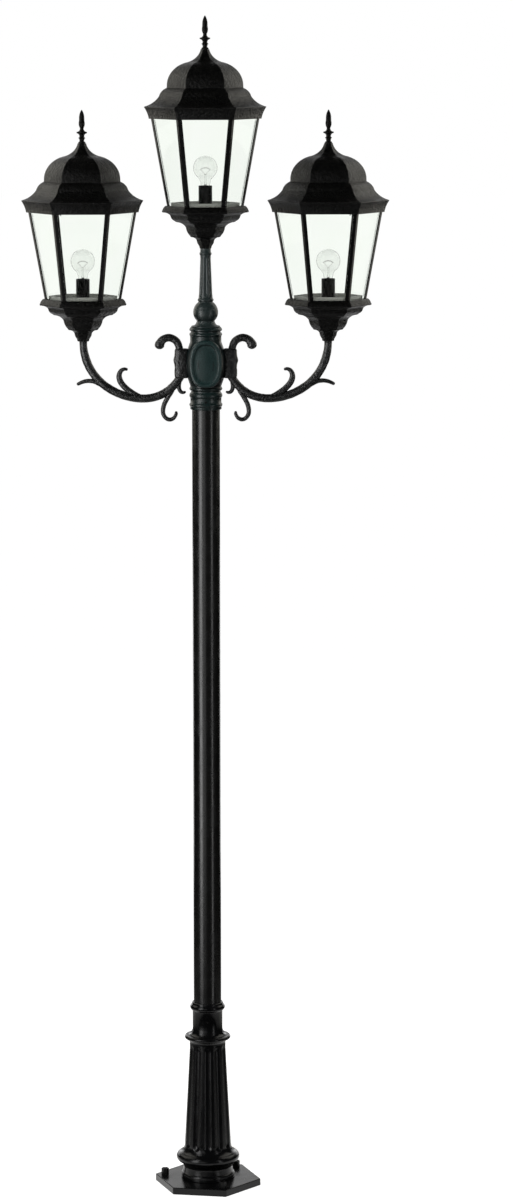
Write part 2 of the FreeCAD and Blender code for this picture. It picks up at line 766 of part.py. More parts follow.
def make_arm(label, turn):
    """A cast arm, drawn reaching toward +X from its boss on the hub to the lantern seat."""
    body = new_body(label, z="hub_height", turn=turn)
    path = new_sketch(body, "XZ_Plane", "BarPath")
    bar_route(path, "arm_rise")
    section = new_sketch(body, "XY_Plane", "BarSection", "side_seat")
    polygon(section, "bar_radius", 8, "side_reach")
    swept(body, section, path, 4)

    boss = new_sketch(body, "XZ_Plane", "Boss")
    outline(boss, [
        ("boss_root", "boss_low"), ("boss_reach", "boss_low"), ("boss_reach", "boss_bump_low", "-boss_bump"),
        ("boss_reach", "boss_bump_high"), ("boss_reach", "boss_high"), ("boss_root", "boss_high")])
    pad(body, boss, "2*boss_half_width", both=True)

    heel = ("arm_low_reach-arm_rise_radius*sin(stalk_turn)", "arm_low+arm_rise_radius*(1-cos(stalk_turn))")
    curl_x = heel[0] + "+curl_out"
    curl(body, "Hook", "hook_x", "hook_foot", "hook_spring", "hook_bend_radius", "hook_bend", "hook_radius",
         "hook_button", 90.0)
    curl(body, "LowerCurl", curl_x, "curl_foot", "curl_spring", "curl_bend_radius", "curl_bend",
         "curl_radius", "curl_button", -90.0)
    leaf(body, "LowerStalk", heel, (curl_x, "curl_spring"), "curl_stalk_bow", "curl_stalk_thick")
    inner = ("arm_low_reach+%s*sin(inner_leaf_turn)" % SWEEP_RADIUS,
             "arm_low+%s*(1-cos(inner_leaf_turn))+inner_leaf_sunk" % SWEEP_RADIUS)
    leaf(body, "InnerLeaf", (inner[0] + "+inner_leaf_out", inner[1] + "+inner_leaf_up"), inner,
         "inner_leaf_bow", "inner_leaf_thick")
    outer = ("side_reach-%s+(%s+bar_radius/2)*cos(outer_leaf_turn)" % (BEND_RADIUS, BEND_RADIUS),
             "side_seat-arm_drop-(%s+bar_radius/2)*sin(outer_leaf_turn)" % BEND_RADIUS)
    leaf(body, "OuterLeaf", outer, (outer[0] + "+outer_leaf_out", outer[1] + "+outer_leaf_up"),
         "outer_leaf_bow", "outer_leaf_thick")
    leaf(body, "HeelLeaf", (heel[0] + "+heel_leaf_out", heel[1] + "+heel_leaf_up"), heel,
         "-heel_leaf_bow", "-heel_leaf_thick")

    saddle = new_sketch(body, "XZ_Plane", "Saddle")
    outline(saddle, [
        ("0", "barrel_low"), ("hub_band+saddle_gap", "barrel_low"),
        ("barrel_radius+saddle_gap", "barrel_low+barrel_slope"),
        ("barrel_radius+saddle_gap", "barrel_high-barrel_slope"),
        ("hub_band+saddle_gap", "barrel_high"), ("0", "barrel_high")])
    revolve(body, saddle, "Groove")
    seat_hole = new_sketch(body, "XY_Plane", "SeatHole", "side_seat")
    circle(seat_hole, "nipple_radius+thread_play", "side_reach", "0")
    pocket(body, seat_hole, "nipple_sunk")
    boss_hole = new_sketch(body, "YZ_Plane", "BossHole")
    circle(boss_hole, "nipple_radius+thread_play")
    pocket(body, boss_hole, "barrel_radius+arm_nipple_sunk", away=True)
    wire_path = new_sketch(body, "XZ_Plane", "WirePath")
    bar_route(wire_path, "wireway_rise")
    bore = new_sketch(body, "XY_Plane", "WireBore", "side_seat")
    polygon(bore, "wireway", 4, "side_reach")
    swept(body, bore, wire_path, 4, "SubtractivePipe")
    return body


# ---------------------------------------------------------------- lantern

def make_roof(new):
    """Cast roof: fascia, out-turned lip, flare, swelling dome and apex in one mitred wall."""
    body = new("roof")
    wall = "-roof_wall"

    def above(rise):
        return "eave+rest_gap+(%s)" % rise

    mitred_wall(body, [
        ("fascia_half", above("-fascia_drop"), "fascia_hollow"), ("lip_half", above("0")),
        ("lip_half", above("lip_edge"), "flare_hollow"), ("flare_half", above("flare_rise"), "-shoulder_swell"),
        ("shoulder_half", above("shoulder_rise")), ("dome_half", above("dome_foot"), "-dome_swell"),
        ("dome_head_half", above("dome_head"), "apex_hollow"), ("apex_half", above("apex_rise")),
        ("stud_radius+1", above("apex_rise")), ("stud_radius+1", above("apex_rise-apex_thick")),
        ("apex_half" + wall, above("apex_rise-apex_thick"), "-apex_hollow"),
        ("dome_head_half" + wall, above("dome_head" + wall), "dome_swell"),
        ("dome_half" + wall, above("dome_foot" + wall)),
        ("shoulder_half" + wall, above("shoulder_rise" + wall)),
        ("curb_half-curb_wall", above("flare_rise-rib_inner_depth")),
        ("curb_half-curb_wall", "curb_top+rest_gap"), ("curb_half", "curb_top+rest_gap"),
        ("curb_half", above("flare_rise-rib_outer_depth")), ("lip_half" + wall, above("-0.3*roof_wall")),
        ("fascia_half-fascia_wall", above("-fascia_drop"))])
    round_washer(body, "(stud_radius+2)/cos(30)", "stud_radius+0.3",
                 above("apex_rise-apex_thick"), "apex_thick")
    return body


def make_finial(new):
    """Finial that screws onto the hanger's stud and holds the roof down."""
    body = new("finial", foot="eave+apex_rise+2*rest_gap")
    core = "spear_tip/2"
    mitred_wall(body, [
        ("finial_foot", "0"), ("finial_neck", "finial_neck_height"), ("finial_neck", "knob_low"),
        ("knob_radius", "knob_height-knob_edge/2"), ("knob_radius", "knob_height+knob_edge/2"),
        ("spear_foot", "knob_high"), ("spear_radius", "spear_belly"), ("spear_tip", "finial_height"),
        (core, "finial_height"), (core, "finial_bore_depth"), ("stud_radius", "finial_bore_depth"),
        ("stud_radius", "0")], 12)
    spear_core = new_sketch(body, "XY_Plane", "SpearCore", "finial_bore_depth")
    circle(spear_core, "spear_tip")
    pad(body, spear_core, "finial_height-finial_bore_depth")
    bore = new_sketch(body, "XY_Plane", "Bore")
    circle(bore, "stud_radius+thread_play")
    pocket(body, bore, "finial_bore_depth", away=True)
    return body


def slope_of_cage():
    return "atan((cage_head_half-cage_foot_half)/(cage_head-cage_foot))"


def cage_panel(body, name, low, high, inset, offset):
    """Trapezium on a side of the cage, between two heights, drawn in from the corners by inset."""
    slope = slope_of_cage()
    reach = "cage_foot_half-(%s)/cos(%s)" % (offset, slope)
    sketch = new_sketch(body, "XZ_Plane", name, reach, y="cage_foot", angle=slope)
    corners = []
    for height in (low, high):
        along = "((%s)-cage_foot)/cos(%s)" % (height, slope)
        side = "((%s)+((%s)-cage_foot)*tan(%s))*tan(30)-(%s)" % (reach, height, slope, inset)
        corners.append((side, along))
    (low_side, low_along), (high_side, high_along) = corners
    outline(sketch, [(low_side, low_along), (high_side, high_along),
                     ("-(%s)" % high_side, high_along), ("-(%s)" % low_side, low_along)])
    return sketch


def make_cage(new):
    """Six corner bars between a foot flange and a head flange with an upright curb."""
    body = new("cage")
    slope = slope_of_cage()

    def inside(height):
        return "cage_foot_half-cage_wall+(%s-cage_foot)*tan(%s)" % (height, slope)

    flange_top, flange_foot = "(cage_foot+flange_thick)", "(cage_head-flange_thick)"
    mitred_wall(body, [
        ("cage_foot_half", "cage_foot"), ("cage_head_half", "cage_head"), ("curb_half", "cage_head"),
        ("curb_half", "curb_top"), ("curb_half-curb_wall", "curb_top"), ("curb_half-curb_wall", flange_foot),
        (inside(flange_foot), flange_foot), (inside(flange_top), flange_top), ("flange_half", flange_top),
        ("flange_half", "cage_foot")])
    window = cage_panel(body, "Window", "window_low", "window_high", "bar_leg", "0")
    around(body, [pocket(body, window, "6*cage_wall", both=True)], "6")
    return body


def make_panes(new):
    """Six bevelled panes, held behind the bars."""
    body = new("glass_panes")
    face = "cage_wall*cos(%s)+pane_gap" % slope_of_cage()
    edge = cage_panel(body, "PaneEdge", "pane_low", "pane_high", "pane_inset", face)
    plate = pad(body, edge, "pane_edge", away=True)
    low, high, border = "window_low+sight_gap", "window_high-sight_gap", "bar_leg+sight_gap"
    bevel = ruled_loft(body, [
        cage_panel(body, "BevelFoot", low, high, border, face),
        cage_panel(body, "BevelTop", low + "+bevel_width", high + "-bevel_width", border + "+bevel_width",
                   face + "-pane_crown")])
    around(body, [plate, bevel], "6")
    return body


def make_cup(new):
    """Stepped ogee cup that carries the cage on an inner shelf."""
    body = new("cup")
    inner, up = "-cup_wall", "+cup_wall"
    shelf_half = "cage_foot_half+(cup_top-cage_foot)*tan(%s)+cage_play" % slope_of_cage()
    mitred_wall(body, [
        ("cup_foot_half", "0"), ("cup_foot_top_half", "cup_foot_height", "bowl_cove"),
        ("bowl_half", "bowl_height", "-waist_swell"), ("waist_half", "waist_top", "belly_cove"),
        ("belly_half", "belly_height", "-1"), ("throat_half", "throat_height", "1.5"),
        ("rim_half", "rim_height"), ("rim_half", "rim_height+rim_edge", "1"),
        ("cup_top_half", "cup_top"), (shelf_half, "cup_top"), (shelf_half, "cage_foot"),
        ("throat_half" + inner, "cage_foot"), ("throat_half" + inner, "throat_height" + up),
        ("belly_half" + inner, "belly_height" + up), ("waist_half" + inner, "waist_top" + up),
        ("bowl_half" + inner, "bowl_height" + up), ("cup_foot_top_half" + inner, "cup_floor"),
        ("nipple_radius+2", "cup_floor"), ("nipple_radius+2", "0")])
    round_washer(body, "(nipple_radius+3)/cos(30)", "nipple_radius+thread_play", "0", "cup_floor")
    return body


def make_hanger(new):
    """Strap across the curb with the stud that the roof and the finial go onto."""
    body = new("roof_hanger")
    strap = new_sketch(body, "XY_Plane", "Strap", "hanger_height")
    half_width, reach = "hanger_width/2", "curb_half-curb_wall"
    outline(strap, [(half_width, "-(%s)" % reach), (half_width, reach), ("-" + half_width, reach),
                    ("-" + half_width, "-(%s)" % reach)])
    pad(body, strap, "hanger_thick")
    stud = new_sketch(body, "XY_Plane", "Stud", "hanger_height")
    circle(stud, "stud_radius")
    pad(body, stud, "stud_top-hanger_height")
    return body


def make_lamp(new):
    """Drip pan, lampholder, and the lamp with its cap and globe in one."""
    thread_hole = "nipple_radius+thread_play"
    pan = new("drip_pan")
    floor = new_sketch(pan, "XY_Plane", "Floor", PAN_FLOOR)
    polygon(floor, "pan_half", 6)
    circle(floor, thread_hole)
    pad(pan, floor, "pan_wall")
    hex_ring(pan, "pan_half", "pan_half-pan_wall", PAN_FLOOR, "pan_height")

    holder_foot = PAN_TOP + "+locknut_thick"
    turned(new("lampholder"), [
        (thread_hole, holder_foot), ("holder_radius", holder_foot), ("holder_radius", "holder_top"),
        ("shell_radius", "holder_top"), ("shell_radius", "holder_floor"), ("wireway", "holder_floor"),
        ("wireway", holder_foot + "+holder_thread"), (thread_hole, holder_foot + "+holder_thread")])

    lamp = new("lamp")
    cap = new_sketch(lamp, "XY_Plane", "Cap", "lamp_foot")
    circle(cap, "shell_radius-lamp_play")
    pad(lamp, cap, "lamp_cap_top-lamp_foot")
    inner = "(globe_radius-glass_wall)"
    angles = (-58, -35, -12, 12, 36, 60, 82)
    outside = [("globe_radius*cos(%d)" % angle, "globe_height+globe_radius*sin(%d)" % angle) for angle in angles]
    inside = [("%s*cos(%d)" % (inner, angle), "globe_height+%s*sin(%d)" % (inner, angle)) for angle in angles]
    neck = [("lamp_neck", "lamp_cap_top"), ("lamp_neck", "lamp_neck_top")]
    neck_inside = [("lamp_neck-glass_wall", "lamp_neck_top"), ("lamp_neck-glass_wall", "lamp_cap_top")]
    mitred_wall(lamp, neck + outside + inside[::-1] + neck_inside, 12)
    crown_low, crown_top = inside[-1][1], outside[-1][1]
    crown = new_sketch(lamp, "XY_Plane", "Crown", crown_low)
    polygon(crown, outside[-1][0], 12)
    pad(lamp, crown, "(%s)-(%s)" % (crown_top, crown_low))


def make_lantern(side, x, seat):
    """One lantern's nodes; each body stands on the lantern's own seat."""
    def new(name, foot="0"):
        return new_body("%s_%s" % (side, name), x, "hub_height+%s+%s" % (seat, foot))

    make_roof(new)
    make_finial(new)
    make_cage(new)
    make_panes(new)
    make_cup(new)
    make_hanger(new)
    make_lamp(new)


make_base()
make_pole()
make_hub()
make_stem()
make_anchor_nuts()
make_set_screws()
make_hub_nipples()
make_lantern_nipples()
make_locknuts()
make_arm("right_arm", "0")
make_arm("left_arm", "180")
for side, x, seat in LANTERNS:
    make_lantern(side, x, seat)
doc.recompute()

os.makedirs("parts", exist_ok=True)
faulty = [item.Label for item in doc.Objects
          if "Invalid" in item.State or "Error" in item.State]
for body in doc.findObjects("PartDesign::Body"):
    if body.Shape.isNull() or not body.Shape.isValid() or not body.Shape.Solids:
        faulty.append(body.Label)
if faulty:
    raise RuntimeError("faulty objects: " + ", ".join(faulty))
for body in doc.findObjects("PartDesign::Body"):
    body.Shape.exportStep("parts/%s.step" % body.Label)
    print("%-26s %2d solids %9.0f mm3" % (body.Label, len(body.Shape.Solids), body.Shape.Volume))
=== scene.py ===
import math

import bmesh
import bpy
from mathutils import Matrix, Vector, noise


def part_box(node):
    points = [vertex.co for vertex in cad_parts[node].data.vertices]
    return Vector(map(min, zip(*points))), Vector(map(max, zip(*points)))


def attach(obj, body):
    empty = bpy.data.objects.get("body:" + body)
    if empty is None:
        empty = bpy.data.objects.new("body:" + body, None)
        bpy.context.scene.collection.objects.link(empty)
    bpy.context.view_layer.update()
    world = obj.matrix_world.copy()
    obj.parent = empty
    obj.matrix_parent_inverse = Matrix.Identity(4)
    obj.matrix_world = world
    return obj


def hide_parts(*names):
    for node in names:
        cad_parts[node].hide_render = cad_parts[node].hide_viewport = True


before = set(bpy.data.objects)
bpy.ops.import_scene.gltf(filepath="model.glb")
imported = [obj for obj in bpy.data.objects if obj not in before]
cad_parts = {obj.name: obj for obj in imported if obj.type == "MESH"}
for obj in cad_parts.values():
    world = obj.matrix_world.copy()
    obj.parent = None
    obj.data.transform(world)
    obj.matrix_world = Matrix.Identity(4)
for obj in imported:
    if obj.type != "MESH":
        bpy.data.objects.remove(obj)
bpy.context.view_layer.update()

# ------------------------------------------------------------------ studio
# White paper under and behind the post, and a dark room on the camera's side. Softboxes behind its two
# sides light the lanterns' side faces; cards draw the highlights on the pole; low boxes, a strip and a
# panel show only in glossy faces. The camera stands where the photograph was taken.

bpy.context.scene.view_settings.view_transform = "Standard"


def worked(nodes, links, operation, *given, clamp=False):
    """The outcome of one sum; what is given are sockets or plain numbers."""
    node = nodes.new("ShaderNodeMath")
    node.operation = operation
    node.use_clamp = clamp
    for value, socket in zip(given, node.inputs):
        if isinstance(value, float):
            socket.default_value = value
        else:
            links.new(value, socket)
    return node.outputs[0]


def span(nodes, links, value, start, end, low, high):
    """The value stretched from one range to another."""
    stretched = nodes.new("ShaderNodeMapRange")
    for name, number in (("From Min", start), ("From Max", end), ("To Min", low), ("To Max", high)):
        stretched.inputs[name].default_value = number
    links.new(value, stretched.inputs["Value"])
    return stretched.outputs["Result"]


def split_rays(nodes, links, plain, bright, glossy):
    """Bright to the camera and through glass, and as far as glossy says in glossy faces; else plain."""
    path = nodes.new("ShaderNodeLightPath")
    mirrored = worked(nodes, links, "MULTIPLY", path.outputs["Is Glossy Ray"], glossy)
    seen = worked(nodes, links, "MAXIMUM", path.outputs["Is Camera Ray"],
                  path.outputs["Is Transmission Ray"])
    choose = nodes.new("ShaderNodeMixShader")
    links.new(worked(nodes, links, "MAXIMUM", seen, mirrored), choose.inputs[0])
    links.new(plain.outputs[0], choose.inputs[1])
    links.new(bright.outputs[0], choose.inputs[2])
    return choose.outputs[0]


def white_paper():
    """Paper that takes the post's soft shadow near its foot and reads as white to the camera further out,
    where its own colour darkens as painted shade for bounced and glossy light.
    """
    paper = bpy.data.materials.new("studio_paper")
    paper.use_nodes = True
    nodes, links = paper.node_tree.nodes, paper.node_tree.links
    nodes.clear()
    out = nodes.new("ShaderNodeOutputMaterial")
    place = nodes.new("ShaderNodeTexCoord")
    measured = nodes.new("ShaderNodeVectorMath")
    measured.operation = "LENGTH"
    links.new(place.outputs["Object"], measured.inputs[0])
    distance = measured.outputs["Value"]
    # the paper's own colour darkens from 0.8 to near black between 1.2 and 2.4 m out: painted shade that
    # bounced and glossy light see as a dark room
    matt = nodes.new("ShaderNodeBsdfDiffuse")
    links.new(span(nodes, links, distance, 1.2, 2.4, 0.8, 0.05), matt.inputs["Color"])
    glow = nodes.new("ShaderNodeEmission")
    links.new(span(nodes, links, distance, 0.15, 1.6, 0.72, 1.0), glow.inputs["Strength"])
    both = nodes.new("ShaderNodeAddShader")
    links.new(matt.outputs[0], both.inputs[0])
    links.new(glow.outputs[0], both.inputs[1])
    near = span(nodes, links, distance, 0.3, 0.8, 1.0, 0.0)
    links.new(split_rays(nodes, links, matt, both, near), out.inputs[0])
    return paper


# the paper starts just before the post's plate and runs far out behind it, in metres
paper_reach, paper_front = 60.0, -0.35
paper_mesh = bpy.data.meshes.new("studio_floor")
paper_mesh.from_pydata([(-paper_reach, paper_front, 0), (paper_reach, paper_front, 0),
                        (paper_reach, paper_reach, 0), (-paper_reach, paper_reach, 0)], [], [(0, 1, 2, 3)])
paper_mesh.materials.append(white_paper())
studio_floor = bpy.data.objects.new("studio_floor", paper_mesh)
bpy.context.collection.objects.link(studio_floor)

room = bpy.data.worlds.new("studio_room")
bpy.context.scene.world = room
room.use_nodes = True


def light_room(nodes, links):
    """White where the camera or glass looks out, and for gloss only well behind the post; else dark."""
    nodes.clear()
    out = nodes.new("ShaderNodeOutputWorld")
    white = nodes.new("ShaderNodeBackground")
    white.inputs["Color"].default_value = (1, 1, 1, 1)
    dark = nodes.new("ShaderNodeBackground")
    dark.inputs["Color"].default_value = (0.95, 0.98, 1.0, 1)
    dark.inputs["Strength"].default_value = 0.03
    place = nodes.new("ShaderNodeTexCoord")
    parts = nodes.new("ShaderNodeSeparateXYZ")
    links.new(place.outputs["Generated"], parts.inputs[0])
    behind = span(nodes, links, parts.outputs["Y"], 0.8, 0.95, 0.0, 1.0)
    links.new(split_rays(nodes, links, dark, white, behind), out.inputs[0])


light_room(room.node_tree.nodes, room.node_tree.links)


def softbox(name, azimuth, distance, height, width, tall, power, aim=None, rays="both", tint=(1, 1, 1)):
    """A softbox turned to the post, in degrees from the camera's side, right positive, metres and watts."""
    turn = math.radians(azimuth)
    light = bpy.data.lights.new(name, "AREA")
    light.shape = "RECTANGLE"
    light.size = width
    light.size_y = tall
    light.energy = power
    light.color = tint
    lamp = bpy.data.objects.new(name, light)
    lamp.location = (distance * math.sin(turn), -distance * math.cos(turn), height)
    target = Vector((0, 0, height if aim is None else aim))
    lamp.rotation_euler = (target - lamp.location).to_track_quat("-Z", "Y").to_euler()
    lamp.visible_camera = False
    lamp.visible_transmission = False
    lamp.visible_diffuse = rays != "gloss"
    lamp.visible_glossy = rays != "matt"
    bpy.context.collection.objects.link(lamp)


softbox("key", azimuth=-14, distance=5.5, height=5.5, width=2.4, tall=2.4, power=340, aim=1.9, rays="matt")
for name, side in (("left", -1), ("right", 1)):
    softbox("softbox_" + name, azimuth=122 * side, distance=3.2, height=4.0, width=3.2, tall=4.2,
            power=62, tint=(1, 0.97, 0.88))
for name, side in (("left", -1), ("right", 1)):
    softbox("low_" + name, azimuth=155 * side, distance=3.2, height=0.8, width=1.6, tall=1.2, power=9,
            aim=2.5, rays="gloss")
softbox("strip_left", azimuth=-56, distance=2.8, height=4.2, width=1.2, tall=0.7, power=14, aim=2.4,
        rays="gloss")
softbox("card_left", azimuth=-49, distance=3.6, height=1.65, width=1.4, tall=3.6, power=78, rays="gloss")
softbox("panel_left", azimuth=-26, distance=4.6, height=1.2, width=3.0, tall=2.8, power=22, rays="gloss")
softbox("card_right", azimuth=47, distance=3.6, height=1.4, width=0.45, tall=4.0, power=17, rays="gloss")

camera_distance = 11.0          # metres before the post, as is the height above the paper
camera_height = 3.2806
camera_tilt = 8.372             # degrees below level
camera_turn = 0.72              # degrees to the right of the post
camera_lean = -0.05             # degrees about its own line of sight
camera_data = bpy.data.cameras.new("camera")
camera_data.sensor_width = 36.0
camera_data.lens = 120.753      # millimetres, like the sensor
camera_data.clip_end = 200.0
camera = bpy.data.objects.new("camera", camera_data)
camera.location = (0, -camera_distance, camera_height)
camera.rotation_euler = (Matrix.Rotation(math.radians(-camera_turn), 3, "Z")
                         @ Matrix.Rotation(math.radians(90 - camera_tilt), 3, "X")
                         @ Matrix.Rotation(math.radians(camera_lean), 3, "Z")).to_euler()
bpy.context.collection.objects.link(camera)
bpy.context.scene.camera = camera

# ------------------------------------------------------------------ base casting
# Cast aluminium: a six-sided plate with three anchor holes, a moulded foot, a tapered shaft with
# twelve round-ended flutes, a ring and a plain collar. Sand cast in one, then powder coated black.

mm = 0.001


def input_of(group, kind, name, value):
    """One input of a node group, with the value it has when nothing is said."""
    group.interface.new_socket(name=name, in_out="INPUT", socket_type=kind).default_value = value


def make_cast_skin():
    """Shared effect of coated castings: sand grain, clouding, and a lighter rubbed coat along the edges and
    on the grain's peaks, partly wear and partly painted highlight.
    """
    group = bpy.data.node_groups.new("cast_skin", "ShaderNodeTree")
    input_of(group, "NodeSocketColor", "Paint", (0.02, 0.02, 0.02, 1))
    input_of(group, "NodeSocketColor", "Rubbed And Highlight", (0.08, 0.08, 0.075, 1))
    input_of(group, "NodeSocketFloat", "Grain Scale", 400.0)
    input_of(group, "NodeSocketFloat", "Roughness", 0.4)
    input_of(group, "NodeSocketFloat", "Edge Wear And Highlight", 0.5)
    input_of(group, "NodeSocketFloat", "Mottle", 0.3)
    input_of(group, "NodeSocketFloat", "Peak Wear And Highlight", 0.0)
    for name, kind in (("Colour", "NodeSocketColor"), ("Roughness", "NodeSocketFloat"),
                       ("Height", "NodeSocketFloat")):
        group.interface.new_socket(name=name, in_out="OUTPUT", socket_type=kind)
    nodes, links = group.nodes, group.links
    given = nodes.new("NodeGroupInput")
    out = nodes.new("NodeGroupOutput")
    place = nodes.new("ShaderNodeTexCoord")
    # the sand's grain, and clouds of wear about four centimetres across
    grain = nodes.new("ShaderNodeTexNoise")
    grain.inputs["Detail"].default_value = 3.0
    grain.inputs["Roughness"].default_value = 0.6
    links.new(place.outputs["Object"], grain.inputs["Vector"])
    links.new(given.outputs["Grain Scale"], grain.inputs["Scale"])
    cloud = nodes.new("ShaderNodeTexNoise")
    cloud.inputs["Scale"].default_value = 24.0
    cloud.inputs["Detail"].default_value = 5.0
    links.new(place.outputs["Object"], cloud.inputs["Vector"])
    cloudy = span(nodes, links, cloud.outputs["Fac"], 0.35, 0.7, 0.0, 1.0)
    # an edge is where the normal rounded over 1.5 mm leaves the true one
    rounded = nodes.new("ShaderNodeBevel")
    rounded.samples = 4
    rounded.inputs["Radius"].default_value = 0.0015
    surface = nodes.new("ShaderNodeNewGeometry")
    bend = nodes.new("ShaderNodeVectorMath")
    bend.operation = "DOT_PRODUCT"
    links.new(rounded.outputs[0], bend.inputs[0])
    links.new(surface.outputs["Normal"], bend.inputs[1])
    edge = span(nodes, links, bend.outputs["Value"], 0.98, 0.86, 0.0, 1.0)
    broken = worked(nodes, links, "MULTIPLY", edge, cloudy)
    rubbed_and_highlight = worked(nodes, links, "MULTIPLY", broken, given.outputs["Edge Wear And Highlight"])
    # paint lighter and darker with the grain
    centred = worked(nodes, links, "SUBTRACT", grain.outputs["Fac"], 0.5)
    fleck = worked(nodes, links, "MULTIPLY", centred, given.outputs["Mottle"])
    level = worked(nodes, links, "MULTIPLY_ADD", fleck, 6.0, 1.0)
    tone = nodes.new("ShaderNodeVectorMath")
    tone.operation = "SCALE"
    links.new(given.outputs["Paint"], tone.inputs[0])
    links.new(worked(nodes, links, "MAXIMUM", level, 0.15), tone.inputs["Scale"])
    # lighter rubbed coat at the edges and on the grain's peaks: partly wear, partly painted highlight
    peaks = span(nodes, links, grain.outputs["Fac"], 0.52, 0.72, 0.0, 1.0)
    peak_wear_and_highlight_mask = worked(nodes, links, "MULTIPLY", peaks, given.outputs["Peak Wear And Highlight"])
    colour = nodes.new("ShaderNodeMix")
    colour.data_type = "RGBA"
    links.new(worked(nodes, links, "ADD", rubbed_and_highlight, peak_wear_and_highlight_mask, clamp=True), colour.inputs["Factor"])
    links.new(tone.outputs[0], colour.inputs["A"])
    links.new(given.outputs["Rubbed And Highlight"], colour.inputs["B"])
    links.new(colour.outputs["Result"], out.inputs["Colour"])
    dull = worked(nodes, links, "MULTIPLY_ADD", cloudy, 0.12, given.outputs["Roughness"])
    links.new(dull, out.inputs["Roughness"])
    links.new(grain.outputs["Fac"], out.inputs["Height"])
    return group


cast_skin = make_cast_skin()


def coated(name, paint, rubbed_and_highlight, grain=400.0, roughness=0.4, edge_wear_and_highlight=0.5, mottle=0.3, peak_wear_and_highlight=0.0, relief=0.2,
           depth=0.0006, metallic=0.0, gloss=0.5):
    """Coated or bare metal with the cast skin; grain is in lumps to the metre, depth in metres. The lighter
    rubbed coat on edges and grain peaks is partly wear and partly painted highlight.
    """
    finish = bpy.data.materials.new(name)
    finish.use_nodes = True
    nodes, links = finish.node_tree.nodes, finish.node_tree.links
    coat = nodes["Principled BSDF"]
    coat.inputs["Metallic"].default_value = metallic
    coat.inputs["Specular IOR Level"].default_value = gloss
    skin = nodes.new("ShaderNodeGroup")
    skin.node_tree = cast_skin
    skin.inputs["Paint"].default_value = (*paint, 1)
    skin.inputs["Rubbed And Highlight"].default_value = (*rubbed_and_highlight, 1)
    skin.inputs["Grain Scale"].default_value = grain
    skin.inputs["Roughness"].default_value = roughness
    skin.inputs["Edge Wear And Highlight"].default_value = edge_wear_and_highlight
    skin.inputs["Mottle"].default_value = mottle
    skin.inputs["Peak Wear And Highlight"].default_value = peak_wear_and_highlight
    bump = nodes.new("ShaderNodeBump")
    bump.inputs["Strength"].default_value = relief
    bump.inputs["Distance"].default_value = depth
    links.new(skin.outputs["Colour"], coat.inputs["Base Color"])
    links.new(skin.outputs["Roughness"], coat.inputs["Roughness"])
    links.new(skin.outputs["Height"], bump.inputs["Height"])
    links.new(bump.outputs["Normal"], coat.inputs["Normal"])
    return finish


base_black = coated("base_black", (0.003, 0.0031, 0.0034), (0.04, 0.042, 0.043), grain=500, roughness=0.16,
                    relief=0.15, gloss=0.22)


def piece(name, points, faces, finish, body="post", slot="casting", stands_for=(), crease=32, rounding=0.0,
          turn=False):
    """A mesh piece in the post's frame, smooth except at its creases; turn swings it to the left side."""
    mesh = bpy.data.meshes.new(name)
    mesh.from_pydata([(-x, -y, z) if turn else (x, y, z) for x, y, z in points], [], faces)
    shape = bmesh.new()
    shape.from_mesh(mesh)
    bmesh.ops.recalc_face_normals(shape, faces=shape.faces)
    shape.to_mesh(mesh)
    shape.free()
    mesh.shade_smooth()
    mesh.set_sharp_from_angle(angle=math.radians(crease))
    mesh.materials.append(finish)
    made = bpy.data.objects.new(name, mesh)
    bpy.context.collection.objects.link(made)
    if rounding:
        bevel = made.modifiers.new("rounded_edges", "BEVEL")
        bevel.width = rounding
        bevel.segments = 2
        bevel.limit_method = "ANGLE"
        bevel.angle_limit = math.radians(crease)
        bevel.harden_normals = True
    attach(made, body)
    if stands_for:
        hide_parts(*stands_for)


def arc(start, end, rise, steps):
    """Points after start up to end on an arc that stands off its chord by rise, to the right of the way."""
    (x0, y0), (x1, y1) = start, end
    chord = math.hypot(x1 - x0, y1 - y0)
    side = math.copysign(1, rise)
    radius = chord ** 2 / (8 * abs(rise)) + abs(rise) / 2
    across = ((y1 - y0) / chord, -(x1 - x0) / chord)
    off = rise - side * radius
    centre = ((x0 + x1) / 2 + across[0] * off, (y0 + y1) / 2 + across[1] * off)
    first = math.atan2(y0 - centre[1], x0 - centre[0])
    sweep = 2 * math.asin(min(1, chord / (2 * radius)))
    if abs(rise) > radius:
        sweep = 2 * math.pi - sweep
    angles = [first + side * sweep * step / steps for step in range(1, steps + 1)]
    return [(centre[0] + radius * math.cos(angle), centre[1] + radius * math.sin(angle)) for angle in angles]


def moulding(corners, steps=8):
    """Section line through corners (radius, height); a third number is the rise of an arc to the next."""
    line = [corners[0][:2]]
    for here, after in zip(corners, corners[1:]):
        line += arc(here[:2], after[:2], here[2], steps) if len(here) == 3 else [after[:2]]
    return line


def ring_faces(rings, sides, closed=False):
    """Faces between rings of points; the ends are capped, or joined to each other where it is closed."""
    faces = []
    for ring in range(rings if closed else rings - 1):
        following = (ring + 1) % rings
        for side in range(sides):
            after = (side + 1) % sides
            faces.append((ring * sides + side, ring * sides + after,
                          following * sides + after, following * sides + side))
    if not closed:
        faces.append(tuple(range(sides)))
        faces.append(tuple(range((rings - 1) * sides, rings * sides)))
    return faces


def turned(line, sides, x=0.0, z=0.0, radius_at=None, closed=False):
    """Form of revolution from a line in millimetres; radius_at may cut flutes into it."""
    points = []
    for radius, height in line:
        for side in range(sides):
            angle = 2 * math.pi * side / sides
            reach = radius_at(radius, height, angle) if radius_at else radius
            points.append((x + reach * math.cos(angle) * mm, reach * math.sin(angle) * mm, z + height * mm))
    return points, ring_faces(len(line), sides, closed)


